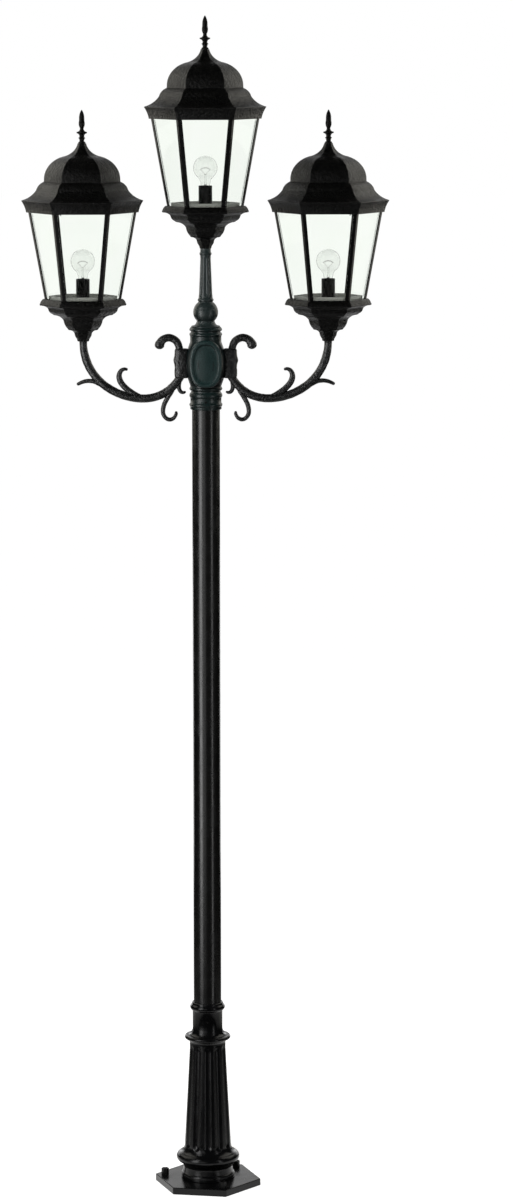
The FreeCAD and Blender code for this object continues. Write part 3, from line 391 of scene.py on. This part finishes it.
def flutes(count, cutter, low, low_depth, high, high_depth):
    """Radius rule that cuts round-ended flutes between two heights, with a depth at each."""
    pitch = 2 * math.pi / count

    def rule(radius, height, angle):
        # how far this height is past the flute's straight run, into one of its rounded ends
        past = max(low + cutter * 0.5 - height, height - high + cutter * 0.5, 0)
        if past >= cutter:
            return radius
        depth = low_depth + (high_depth - low_depth) * (height - low) / (high - low)
        middle = radius + cutter - depth + cutter - math.sqrt(cutter ** 2 - past ** 2)
        off = (angle + pitch / 2) % pitch - pitch / 2
        inside = cutter ** 2 - (middle * math.sin(off)) ** 2
        if inside <= 0:
            return radius
        return min(radius, middle * math.cos(off) - math.sqrt(inside))
    return rule


def levels(start, end, count):
    """A straight run of points, close enough to be shaped on the way."""
    return [(start[0] + (end[0] - start[0]) * step / count, start[1] + (end[1] - start[1]) * step / count)
            for step in range(count + 1)]


shaft_foot, shaft_head = (65.5, 119.0), (50.0, 407.0)
base_line = moulding([
    (73.5, 20.0), (75.0, 21.5), (75.0, 31.0, 1.0), (70.5, 38.0), (69.0, 50.0, -1.0), (71.5, 60.0),
    (74.0, 64.5), (75.5, 66.5, 12.8), (75.5, 94.0, -3.5), (65.6, 117.0)])
base_line += levels(shaft_foot, shaft_head, count=72)
base_line += moulding([
    (50.0, 409.0, -2.5), (60.5, 420.0), (62.6, 421.5, 1.4), (62.6, 429.0), (60.5, 430.5, -4.5),
    (44.0, 442.0), (42.2, 445.0), (41.6, 450.0), (41.6, 500.0), (43.5, 502.5), (45.2, 504.0, 3.2),
    (45.2, 518.0), (43.4, 520.0), (42.8, 524.3), (41.4, 525.5), (38.3, 525.5)])
base_flutes = flutes(count=12, cutter=17.0, low=112.0, low_depth=5.5, high=400.0, high_depth=3.2)
points, faces = turned(base_line, sides=288, radius_at=base_flutes)
piece("base_moulding", points, faces, base_black, crease=40)

plate_corner, plate_turn, plate_thick = 150.5, 49.5, 20.0
plate_points = [(plate_corner * math.cos(math.radians(plate_turn + 60 * corner)) * mm,
                 plate_corner * math.sin(math.radians(plate_turn + 60 * corner)) * mm, height * mm)
                for height in (0.0, plate_thick) for corner in range(6)]
plate_faces = [(0, 1, 2, 3, 4, 5), (6, 7, 8, 9, 10, 11)]
plate_faces += [(side, (side + 1) % 6, (side + 1) % 6 + 6, side + 6) for side in range(6)]
piece("base_plate", plate_points, plate_faces, base_black, stands_for=("base",), rounding=2.2 * mm)

# ------------------------------------------------------------------ anchor nuts and set screws
# Steel hexagon nuts on the footing's three studs, and socket set screws in the two collars,
# painted over with the post. They keep the shape they have as modelled.


def dress(node, finish):
    """Give a modelled node its finish in place."""
    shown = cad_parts[node]
    shown.data.materials.clear()
    shown.data.materials.append(finish)


nut_black = coated("nut_black", (0.003, 0.003, 0.003), (0.015, 0.015, 0.015), grain=700, roughness=0.45,
                   relief=0.1, gloss=0.2)
dress("anchor_nuts", nut_black)
dress("set_screws", nut_black)

# ------------------------------------------------------------------ pole
# Drawn steel tube, 76 mm across with a wall of 3 mm, in satin powder coat. It stands in the base's
# collar, where set screws hold it, and carries the hub.

pole_black = coated("pole_black", (0.006, 0.0058, 0.0055), (0.04, 0.04, 0.04), grain=260, roughness=0.2,
                    edge_wear_and_highlight=0.0, mottle=0.15, relief=0.01, depth=0.0002)
pole_wall = 3.2
pole_low, pole_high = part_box("pole")
pole_radius, pole_foot, pole_head = pole_high[0] / mm, pole_low[2] / mm, pole_high[2] / mm
points, faces = turned([(pole_radius - pole_wall, pole_foot), (pole_radius, pole_foot),
                        (pole_radius, pole_head), (pole_radius - pole_wall, pole_head)], sides=128)
piece("pole_tube", points, faces, pole_black, slot="pole_paint", stands_for=("pole",))

# ------------------------------------------------------------------ hub
# Cast barrel between two banded collars, with a raised oval cartouche on the front and the back.
# It slides over the pole's head and is held by set screws; nipples clamp the arms and stem to it.

# Painted light and shade on one casting: the barrel's paint is darker than the ovals' as painted shade on
# its sides, and both are lighter than the other castings' black as painted light; their lighter rubbed edges
# are partly wear and partly painted highlight.
hub_barrel_painted_shade = coated("hub_barrel_painted_shade", (0.0055, 0.0125, 0.0122), (0.1, 0.12, 0.12), grain=330, roughness=0.28,
                   edge_wear_and_highlight=1.0, mottle=0.5, relief=0.25, depth=0.0006)
oval_painted_light = coated("oval_painted_light", (0.011, 0.026, 0.0252), (0.12, 0.14, 0.14), grain=330, roughness=0.34,
                    edge_wear_and_highlight=1.0, mottle=0.5, relief=0.25, depth=0.0006)
hub_height = 2318.0             # middle of the ovals and of the arms' bosses
barrel_edge, barrel_foot, barrel_head, barrel_swell = 42.8, 2257.0, 2376.0, 11.9
barrel_cut = 50.4               # the barrel is cut back to this depth behind the cartouches
hub_line = moulding([
    (38.4, 2194.0), (38.4, 2191.0), (41.8, 2191.0), (42.8, 2192.4), (42.8, 2198.0), (43.2, 2199.5, 2.2),
    (43.2, 2208.5), (42.4, 2210.0), (42.4, 2222.0), (43.2, 2224.0, 2.0), (43.2, 2236.0), (40.6, 2238.5),
    (40.6, 2242.0), (43.2, 2244.0, 2.0), (43.2, 2252.0), (42.6, 2254.0), (barrel_edge, barrel_foot)])
hub_line += arc((barrel_edge, barrel_foot), (barrel_edge, barrel_head), barrel_swell, steps=24)
hub_line += moulding([
    (42.6, 2379.0), (42.6, 2391.0), (43.0, 2393.0, 1.8), (43.0, 2401.0), (40.6, 2402.5), (40.6, 2405.0),
    (43.0, 2406.5, 1.8), (43.0, 2414.0), (42.0, 2416.0), (7.0, 2416.0), (7.0, 2412.0)])


def behind_ovals(radius, height, angle):
    """Radius rule that cuts the barrel back behind the two ovals' fields and leaves its sides whole."""
    return min(radius, barrel_cut / max(abs(math.sin(angle)), 0.5))


points, faces = turned(hub_line, sides=128, radius_at=behind_ovals)
piece("hub_barrel", points, faces, hub_barrel_painted_shade, crease=50, stands_for=("hub",))

oval_half_width, oval_half_height, oval_crown = 45.0, 64.5, 3.4
oval_side_fill, oval_end_fill = 0.78, 0.86      # below 1 they fill the outline out towards its corners
# each ring of the oval: how far in from its edge, and how far out from the pole's middle
oval_rings = [(0.0, 20.0), (0.0, 52.0), (0.9, 54.2), (2.8, 55.6), (5.0, 56.0), (8.6, 55.9), (10.8, 54.8),
              (12.0, 52.6), (12.8, 50.6), (14.5, 50.1), (20.0, 50.5), (28.0, 51.1), (36.0, 51.5),
              (42.0, 51.7)]


def cartouche(front):
    """Rings of the oval from its root in the barrel, over the rim and into the dished field."""
    points, sides = [], 72
    for inset, depth in oval_rings:
        for side in range(sides):
            angle = 2 * math.pi * side / sides
            cosine, sine = math.cos(angle), math.sin(angle)
            across = (oval_half_width - inset) * math.copysign(abs(cosine) ** oval_side_fill, cosine)
            up = (oval_half_height - inset) * math.copysign(abs(sine) ** oval_end_fill, sine)
            back = depth - oval_crown * (across / oval_half_width) ** 2
            points.append((across * mm, front * back * mm, (hub_height + up) * mm))
    return points, ring_faces(len(oval_rings), sides)


for name, front in (("front_oval", -1), ("back_oval", 1)):
    points, faces = cartouche(front)
    piece(name, points, faces, oval_painted_light, crease=45)

# ------------------------------------------------------------------ stem
# Turned casting under the middle lantern: coved foot, round bead, and a tapered neck with eight
# flutes. A threaded nipple joins it to the hub and another to the lantern's cup.


def ball(radius, height, start, end, step=6):
    """Points of a ball's section between two angles in degrees."""
    return [(radius * math.cos(math.radians(turn)), height + radius * math.sin(math.radians(turn)))
            for turn in range(start, end, step)]


bead_radius, bead_height = 34.0, 2457.5
neck_foot, neck_head = (19.0, 2499.0), (14.5, 2608.0)
stem_line = moulding([
    (8.0, 2419.0), (8.0, 2416.0), (38.6, 2416.0), (39.8, 2417.2), (39.8, 2418.6), (38.0, 2420.5, -3.0),
    (25.6, 2430.0), (24.4, 2431.5), (24.4, 2433.6), (24.9, 2434.2)])
stem_line += ball(bead_radius, bead_height, -42, 55)
stem_line += moulding([(19.6, 2486.0), (20.6, 2488.0, 1.2), (20.6, 2494.0), (19.4, 2495.5), (19.2, 2498.0)])
stem_line += levels(neck_foot, neck_head, count=44)
stem_line += moulding([(14.5, 2612.0), (15.6, 2614.0, 1.0), (15.6, 2620.0), (14.5, 2622.0), (14.5, 2631.0),
                       (8.0, 2631.0)])
neck_flutes = flutes(count=8, cutter=6.5, low=2505.0, low_depth=2.4, high=2606.0, high_depth=1.5)
points, faces = turned(stem_line, sides=160, radius_at=neck_flutes)
# Paint lighter than the other castings' black: painted light. Its lighter rubbed edges are partly wear and
# partly painted highlight.
stem_painted_light = coated("stem_painted_light", (0.015, 0.0225, 0.022), (0.12, 0.13, 0.13), grain=330, roughness=0.3,
                    edge_wear_and_highlight=0.9, mottle=0.4, relief=0.25, depth=0.0007)
piece("stem_turning", points, faces, stem_painted_light, crease=50, stands_for=("stem",))

# ------------------------------------------------------------------ arms
# Cast scroll arms: a forged-looking round bar sweeps down from the lantern's seat and up to a rough
# boss on the hub; a hook, leaves and curls grow from it. A nipple clamps each arm to the hub.

# The lighter rubbed coat on the edges and grain peaks is partly wear and partly painted highlight along the
# bars.
arm_black = coated("arm_black", (0.0035, 0.0038, 0.0038), (0.11, 0.112, 0.11), grain=150, roughness=0.27,
                   edge_wear_and_highlight=1.0, mottle=0.6, peak_wear_and_highlight=0.25, relief=0.7, depth=0.003, gloss=0.7)


def smooth_path(nodes, steps=8):
    """Points along a curve through (x, z, half width, half thickness) nodes; ends keep their direction."""
    ends = [[2 * a - b for a, b in zip(nodes[0], nodes[1])]] + list(nodes)
    ends.append([2 * a - b for a, b in zip(nodes[-1], nodes[-2])])
    line = []
    for one, two, three, four in zip(ends, ends[1:], ends[2:], ends[3:]):
        for step in range(steps):
            t = step / steps
            line.append([0.5 * (2 * b + (c - a) * t + (2 * a - 5 * b + 4 * c - d) * t ** 2
                                + (3 * b - a - 3 * c + d) * t ** 3)
                         for a, b, c, d in zip(one, two, three, four)])
    return line + [list(nodes[-1])]


def forged(line, sides, lump, square=1.0, blunt=0.0):
    """A solid bar along an X-Z path; lump roughens it, square below 1 boxes it, blunt rounds its end."""
    if blunt:
        x, z, wide, thick = line[-1]
        dx, dz = line[-1][0] - line[-2][0], line[-1][1] - line[-2][1]
        length = math.hypot(dx, dz)
        for degrees in (18, 36, 54, 70, 82):
            turn = math.radians(degrees)
            reach = blunt * math.sin(turn)
            line = line + [[x + dx / length * reach, z + dz / length * reach,
                            wide * math.cos(turn), thick * math.cos(turn)]]
    points = []
    for index, (x, z, wide, thick) in enumerate(line):
        before, after = line[max(index - 1, 0)], line[min(index + 1, len(line) - 1)]
        dx, dz = after[0] - before[0], after[1] - before[1]
        length = math.hypot(dx, dz)
        for side in range(sides):
            angle = 2 * math.pi * side / sides
            cosine, sine = math.cos(angle), math.sin(angle)
            out = wide * math.copysign(abs(cosine) ** square, cosine)
            depth = thick * math.copysign(abs(sine) ** square, sine)
            # hammered in by noise that wanders along the bar and round it, and fades out at both ends
            spot = Vector((x * 0.07 + cosine * 0.9, sine * 0.9, z * 0.07))
            fade = min(1, index / 3, (len(line) - 1 - index) / 3)
            knock = 1 - lump * (0.5 + 0.5 * noise.noise(spot * 2.2)) * fade
            points.append(((x - dz / length * out * knock) * mm, depth * knock * mm,
                           (hub_height + z + dx / length * out * knock) * mm))
    return points, ring_faces(len(line), sides)


def bend(x, z, radius, start, end):
    """Points round a middle (x, z) from one angle to another below level, three degrees apart."""
    return [(x + radius * math.cos(math.radians(turn)), z - radius * math.sin(math.radians(turn)))
            for turn in range(start, end, 3)]


# heights of an arm count from the bosses' middle; the bar grows wider on its way down from the seat
seat_reach, seat_rise = 335.0, 60.0
bar_thin, bar_wide, bar_thick, bar_growth = 10.9, 12.2, 11.6, 0.03
# middle and radius of the bar's three bends, from the lantern's seat inwards
outer_bend, low_sweep, inner_bend = (185.0, 57.0, 150.0), (168.9, 85.8, 183.0), (168.9, 13.6, 110.8)
bar_line = [(seat_reach, seat_rise), (seat_reach, 57.5)]
bar_line += bend(*outer_bend, 0, 61) + bend(*low_sweep, 63, 91) + bend(*inner_bend, 93, 157)
bar = [[x, z, min(bar_wide, bar_thin + (seat_rise - z) * bar_growth), bar_thick] for x, z in bar_line]
hook = smooth_path([(72.5, 22.0, 12.0, 12.0), (72.8, 42.0, 10.6, 10.5), (80.5, 60.0, 10.8, 10.8),
                    (99.0, 69.6, 10.9, 10.9), (116.0, 65.0, 11.4, 11.2), (125.6, 53.0, 13.2, 11.9),
                    (126.6, 48.5, 13.6, 11.9)])
inner_leaf = smooth_path([(178.0, -90.0, 4.0, 7.0), (198.0, -83.0, 7.6, 7.5), (219.0, -69.0, 8.8, 6.4),
                          (233.5, -51.0, 8.8, 6.4), (237.5, -35.0, 8.0, 6.2), (233.0, -22.0, 6.6, 5.8),
                          (224.0, -16.4, 5.2, 5.2), (216.5, -17.0, 4.2, 4.4)])
stalk = smooth_path([(84.0, -56.0, 6.5, 9.0), (94.0, -77.0, 7.4, 8.0), (105.5, -96.0, 7.0, 6.6),
                     (115.5, -117.0, 6.8, 6.4), (117.5, -137.0, 6.4, 6.2), (110.0, -150.8, 6.1, 6.0),
                     (98.5, -155.4, 6.0, 6.0), (87.5, -150.2, 5.6, 6.0), (82.0, -140.5, 5.0, 5.4),
                     (81.6, -135.5, 4.2, 4.8)])
heel_leaf = smooth_path([(67.0, -30.0, 7.0, 8.0), (72.5, -50.0, 6.8, 6.6), (74.0, -66.0, 6.2, 6.0),
                         (69.5, -78.0, 5.6, 5.6), (62.0, -81.0, 4.6, 4.8), (57.0, -79.5, 3.4, 3.4)])
outer_leaf = smooth_path([(272.0, -66.0, 9.0, 8.0), (289.0, -56.5, 8.6, 7.4), (306.0, -50.0, 7.0, 6.4),
                          (323.0, -48.6, 6.2, 6.0), (338.0, -51.6, 5.6, 5.4), (350.0, -57.0, 4.8, 4.6)])
boss_reach = 66.0               # from the pole's middle to the boss's own
boss_play = 0.1                 # air between the boss and the barrel
boss_line = [[boss_reach, height, wide, thick] for height, wide, thick in (
    (-41.0, 16.0, 12.0), (-39.5, 19.0, 15.0), (-35.0, 20.6, 16.6), (-28.0, 20.8, 17.0), (-20.0, 21.4, 17.0),
    (-12.0, 20.6, 17.0), (-4.0, 21.2, 17.0), (4.0, 22.8, 17.0), (8.0, 24.6, 17.0), (14.0, 23.4, 17.0),
    (20.0, 21.4, 17.0), (27.0, 20.8, 17.0), (34.0, 20.2, 16.6), (38.5, 18.6, 15.0), (40.0, 15.0, 12.0))]


def boss():
    """The rough block, hollowed where it bears on the hub's barrel."""
    points, faces = forged(boss_line, sides=32, lump=0.12, square=0.62)
    fitted = []
    for x, y, z in points:
        off = (z / mm - hub_height) / ((barrel_head - barrel_foot) / 2)
        barrel = barrel_edge + (barrel_swell + boss_play) * (1 - off ** 2)
        fitted.append((max(x, math.sqrt(barrel ** 2 - (y / mm) ** 2) * mm + boss_play * mm), y, z))
    return fitted, faces


for side, turn in (("right", False), ("left", True)):
    for part, shape in (
            ("bar", forged(bar, sides=24, lump=0.14)), ("boss", boss()),
            ("hook", forged(hook, sides=20, lump=0.06, blunt=10.5)),
            ("inner_leaf", forged(inner_leaf, sides=16, lump=0.08, blunt=3.0)),
            ("outer_leaf", forged(outer_leaf, sides=16, lump=0.08, blunt=4.0)),
            ("heel_leaf", forged(heel_leaf, sides=16, lump=0.08, blunt=2.6)),
            ("stalk", forged(stalk, sides=16, lump=0.08, blunt=3.4))):
        piece(side + "_arm_" + part, *shape, arm_black, turn=turn, crease=75,
              stands_for=(side + "_arm",) if part == "bar" else ())

# ------------------------------------------------------------------ nipples and locknuts
# Hollow threaded steel nipples, zinc plated, with hexagon locknuts. They clamp the arms and the stem
# to the hub and each lantern's cup to its seat, and stay hidden but for their ends.

zinc = coated("zinc", (0.14, 0.14, 0.135), (0.35, 0.35, 0.34), grain=600, roughness=0.3, relief=0.1,
              metallic=1.0)
for node in ("hub_nipples", "lantern_nipples", "locknuts"):
    dress(node, zinc)

# ------------------------------------------------------------------ lantern cups
# Six-sided cast cup with ogee steps and a rolled rim. The cage stands on a shelf inside its rim and
# the nipple clamps its foot to the arm or the stem.

cup_black = coated("cup_black", (0.0018, 0.0018, 0.0016), (0.05, 0.05, 0.047), grain=150, roughness=0.3,
                   edge_wear_and_highlight=0.5, mottle=0.8, relief=1.0, depth=0.003, gloss=0.15)


def seat_of(side):
    """Where a lantern stands, across and up, in metres."""
    low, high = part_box(side + "_cup")
    return (low[0] + high[0]) / 2, low[2]


seats = {side: seat_of(side) for side in ("centre", "right", "left")}


def hexed(line, corner, x, z):
    """A closed ring of six mitred walls from its section (half, height); its upright edges are rounded."""
    points = []
    turns = (-1, -0.45, 0.45, 1)        # four points round each upright edge
    for half, height in line:
        soft = min(corner, half * 0.3)
        reach = (half - soft) / math.cos(math.radians(30))
        for wall in range(6):
            heading = math.radians(60 * wall)
            for turn in turns:
                lean = heading + math.radians(30 * turn)
                points.append((x + (reach * math.cos(heading) + soft * math.cos(lean)) * mm,
                               (reach * math.sin(heading) + soft * math.sin(lean)) * mm,
                               z + height * mm))
    return points, ring_faces(len(line), 6 * len(turns), closed=True)


cup_line = moulding([
    (7.0, 0.0), (13.4, 0.0), (14.2, 1.0), (15.0, 6.0), (19.6, 14.5), (21.4, 23.0, -2.0), (32.8, 30.6),
    (35.6, 31.8), (36.4, 33.8, 1.8), (46.4, 56.0), (47.2, 58.5, -3.0), (67.4, 71.4), (71.0, 72.6),
    (72.6, 74.6, 2.0), (82.6, 87.0), (84.0, 91.0, -2.0), (101.4, 98.0), (102.9, 99.6), (102.9, 102.4),
    (101.8, 104.0, 1.0), (95.6, 115.2), (94.9, 116.0), (91.2, 116.0), (91.0, 115.6), (91.0, 103.0),
    (79.0, 103.0), (79.0, 94.5), (68.0, 78.0), (43.0, 62.0), (32.5, 36.0), (16.0, 26.0), (10.0, 12.0),
    (7.0, 12.0)], steps=6)
for side, (x, z) in seats.items():
    points, faces = hexed(cup_line, corner=2.4, x=x, z=z)
    piece(side + "_cup_casting", points, faces, cup_black, stands_for=(side + "_cup",), crease=28)

# ------------------------------------------------------------------ cages and panes
# Cast frame of six corner bars with a flange at the foot and an upright curb at the head. Six bevelled
# panes lie behind the bars; a zinc strap across the curb carries the stud that holds the roof.

cage_black = coated("cage_black", (0.0025, 0.0025, 0.0025), (0.03, 0.03, 0.028), grain=300,
                    roughness=0.24, edge_wear_and_highlight=0.4, mottle=0.4, relief=0.3, gloss=0.22)


def clear_glass(name, tint, haze, ripple, refraction):
    """Clear glass with a faint waviness in its colour, haze and surface."""
    glass = bpy.data.materials.new(name)
    glass.use_nodes = True
    nodes, links = glass.node_tree.nodes, glass.node_tree.links
    body = nodes["Principled BSDF"]
    body.inputs["Transmission Weight"].default_value = 1.0
    body.inputs["IOR"].default_value = refraction
    place = nodes.new("ShaderNodeTexCoord")
    wave = nodes.new("ShaderNodeTexNoise")
    wave.inputs["Scale"].default_value = 14.0
    wave.inputs["Detail"].default_value = 1.0
    links.new(place.outputs["Object"], wave.inputs["Vector"])
    paler = [part * 0.4 + 0.6 for part in tint]
    colour = nodes.new("ShaderNodeMix")
    colour.data_type = "RGBA"
    colour.inputs["A"].default_value = (*tint, 1)
    colour.inputs["B"].default_value = (*paler, 1)
    links.new(wave.outputs["Fac"], colour.inputs["Factor"])
    links.new(colour.outputs["Result"], body.inputs["Base Color"])
    links.new(span(nodes, links, wave.outputs["Fac"], 0.0, 1.0, haze, haze * 2), body.inputs["Roughness"])
    bump = nodes.new("ShaderNodeBump")
    bump.inputs["Strength"].default_value = ripple
    bump.inputs["Distance"].default_value = 0.001
    links.new(wave.outputs["Fac"], bump.inputs["Height"])
    links.new(bump.outputs["Normal"], body.inputs["Normal"])
    return glass


pane_glass = clear_glass("pane_glass", (0.945, 0.976, 0.935), haze=0.01, ripple=0.1, refraction=1.12)
for side in seats:
    dress(side + "_cage", cage_black)
    dress(side + "_glass_panes", pane_glass)
    dress(side + "_roof_hanger", zinc)

# ------------------------------------------------------------------ roofs
# Cast six-sided ogee roof: fascia, out-turned lip, flare, swelling dome and a drawn-up apex. It lifts
# off the cage's curb for a change of lamp and is held down by the finial.

roof_black = coated("roof_black", (0.0018, 0.0018, 0.0016), (0.06, 0.06, 0.055), grain=140,
                    roughness=0.3, edge_wear_and_highlight=0.5, mottle=1.0, relief=1.0, depth=0.003, gloss=0.2)
eave = 382.2                    # height above the lantern's seat that the section is drawn from
roof_line = moulding([
    (133.0, -30.6, -1.5), (143.4, -0.6), (144.0, 0.2), (144.0, 1.7), (143.2, 2.3, -4.0), (109.6, 28.6),
    (109.0, 29.4, 3.0), (92.4, 51.6), (91.4, 52.2), (90.4, 53.2), (90.3, 57.0, 13.0), (45.5, 120.5, -7.5),
    (10.4, 156.0), (9.9, 156.5), (5.0, 156.5), (5.0, 146.5), (7.6, 146.5, 7.5), (42.7, 117.7, -13.0),
    (87.5, 54.2), (89.2, 49.2), (112.0, 20.0), (112.0, 1.2), (116.0, 1.2), (116.0, 15.5), (141.2, -0.84),
    (130.6, -30.6)], steps=10)
for side, (x, z) in seats.items():
    points, faces = hexed([(half, eave + height) for half, height in roof_line], corner=2.6, x=x, z=z)
    piece(side + "_roof_casting", points, faces, roof_black, body=side + "_roof_body",
          stands_for=(side + "_roof",), crease=30)

# ------------------------------------------------------------------ finials
# Cast finial with a ringed neck, a thin-edged knob and a spear, coated like the cups. It screws onto
# the hanger's stud and so holds the roof down.

finial_line = moulding([
    (4.1, 24.0), (4.1, 0.0), (9.2, 0.0), (9.9, 1.0), (9.9, 3.0, -2.0), (7.0, 9.0), (7.0, 11.5),
    (8.6, 12.6, 0.8), (8.6, 15.0), (7.0, 16.2), (6.6, 19.0, -2.0), (13.6, 26.4), (14.4, 27.8),
    (14.4, 29.2), (13.6, 30.6, -2.2), (5.2, 38.0), (5.0, 40.5, 2.0), (7.5, 60.0), (7.3, 66.0, 1.8),
    (1.2, 89.2), (0.4, 90.0)], steps=6)
for side, (x, z) in seats.items():
    finial_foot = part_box(side + "_finial")[0][2]
    points, faces = turned(finial_line, sides=32, x=x, z=finial_foot)
    piece(side + "_finial_casting", points, faces, cup_black, body=side + "_finial_body",
          stands_for=(side + "_finial",), crease=50)

# ------------------------------------------------------------------ drip pans, lampholders and lamps
# Grey sheet pan on each cup's nipple, a moulded candle sleeve screwed on above it, and a clear globe
# lamp with a threaded cap, a glass mount and a coiled filament, which unscrews from the holder.

pan_grey = coated("pan_grey", (0.36, 0.36, 0.34), (0.5, 0.5, 0.5), grain=300, roughness=0.4, edge_wear_and_highlight=0.2,
                  relief=0.1)
moulded_black = coated("moulded_black", (0.003, 0.003, 0.003), (0.02, 0.02, 0.02), grain=350, roughness=0.3,
                       edge_wear_and_highlight=0.2, relief=0.08, gloss=0.1)
cap_brass = coated("cap_brass", (0.36, 0.3, 0.19), (0.5, 0.44, 0.3), grain=500, roughness=0.3, edge_wear_and_highlight=0.3,
                   relief=0.05, metallic=1.0)
lamp_glass = clear_glass("lamp_glass", (0.93, 0.94, 0.93), haze=0.02, ripple=0.1, refraction=1.3)
tungsten = coated("tungsten", (0.3, 0.28, 0.25), (0.5, 0.5, 0.5), grain=900, roughness=0.3, metallic=1.0)


def wire(path, radius, x, z, sides=6):
    """A round wire through points (x, y, z) in millimetres."""
    points = []
    for index, spot in enumerate(path):
        before, after = path[max(index - 1, 0)], path[min(index + 1, len(path) - 1)]
        ahead = (Vector(after) - Vector(before)).normalized()
        one = ahead.cross(Vector((0.3, 1, 0.2))).normalized()
        two = ahead.cross(one)
        for side in range(sides):
            angle = 2 * math.pi * side / sides
            place = Vector(spot) + (one * math.cos(angle) + two * math.sin(angle)) * radius
            points.append((x + place.x * mm, place.y * mm, z + place.z * mm))
    return points, ring_faces(len(path), sides)


sleeve_line = moulding([
    (6.8, 112.2), (18.4, 112.2), (19.2, 113.2), (19.2, 117.0), (18.6, 118.0), (18.6, 169.4), (18.0, 170.9),
    (13.4, 170.9), (13.4, 128.1), (4.5, 128.1), (4.5, 118.0), (6.8, 118.0)])

globe_radius, globe_bore, globe_height = 33.0, 31.8, 219.0
globe_line = [(12.0, 158.0), (12.1, 166.0), (12.6, 174.0), (13.6, 180.0), (15.2, 186.0)]
globe_line += ball(globe_radius, globe_height, -54, 88) + [(1.0, 252.0), (0.9, 250.8)]
globe_line += ball(globe_bore, globe_height, 86, -56, -6)
globe_line += [(14.1, 186.4), (12.5, 180.4), (11.5, 174.0), (11.0, 166.0), (10.9, 158.0)]

# the cap's screw thread is drawn as rings
cap_radius, thread_radius, thread_foot, thread_pitch, thread_turns = 12.3, 13.0, 135.0, 3.0, 7
cap_line = [(3.0, 129.0), (5.0, 129.2), (8.0, 132.0), (cap_radius, 134.0)]
for ring in range(thread_turns):
    foot = thread_foot + thread_pitch * ring
    cap_line += [(cap_radius, foot), (thread_radius, foot + 1.2), (cap_radius, foot + 2.4)]
cap_line += [(12.4, 157.8), (3.0, 157.8)]

mount_line = moulding([(3.4, 160.0), (7.5, 162.0), (3.6, 172.0), (2.4, 184.0), (2.4, 196.0), (3.2, 199.0),
                       (2.2, 201.0), (0.5, 202.0)], steps=4)

# the filament: a coil that arches up between the two leads, wound by a quarter turn at each step
coil_half, coil_radius, coil_height, coil_rise, coil_steps = 14.0, 1.1, 214.0, 5.0, 60
quarter_turn = 1.57
wire_radius = 0.35
coil = [(-coil_half + 2 * coil_half * step / coil_steps, coil_radius * math.cos(step * quarter_turn),
         coil_height + coil_rise * math.sin(math.pi * step / coil_steps)
         + coil_radius * math.sin(step * quarter_turn)) for step in range(coil_steps + 1)]
leads = [[(-1.6, 0, 200.0), (-5.0, 0, 206.0), (-13.6, 0, 214.0)],
         [(1.6, 0, 200.0), (5.0, 0, 206.0), (13.6, 0, 214.0)]]
for side, (x, z) in seats.items():
    dress(side + "_drip_pan", pan_grey)
    points, faces = turned(sleeve_line, sides=48, x=x, z=z, closed=True)
    piece(side + "_lamp_sleeve", points, faces, moulded_black, slot="holder_plastic",
          stands_for=(side + "_lampholder",))
    lamp = side + "_lamp_body"
    points, faces = turned(globe_line, sides=64, x=x, z=z, closed=True)
    piece(side + "_lamp_globe", points, faces, lamp_glass, body=lamp, slot="lamp_glass",
          stands_for=(side + "_lamp",))
    points, faces = turned(cap_line, sides=32, x=x, z=z)
    piece(side + "_lamp_cap", points, faces, cap_brass, body=lamp, slot="plated_steel", crease=50)
    points, faces = turned(mount_line, sides=24, x=x, z=z)
    piece(side + "_lamp_mount", points, faces, lamp_glass, body=lamp, slot="lamp_glass")
    for index, path in enumerate([coil] + leads):
        points, faces = wire(path, wire_radius, x, z)
        piece(side + "_lamp_wire_%d" % (index + 1), points, faces, tungsten, body=lamp, slot="plated_steel")
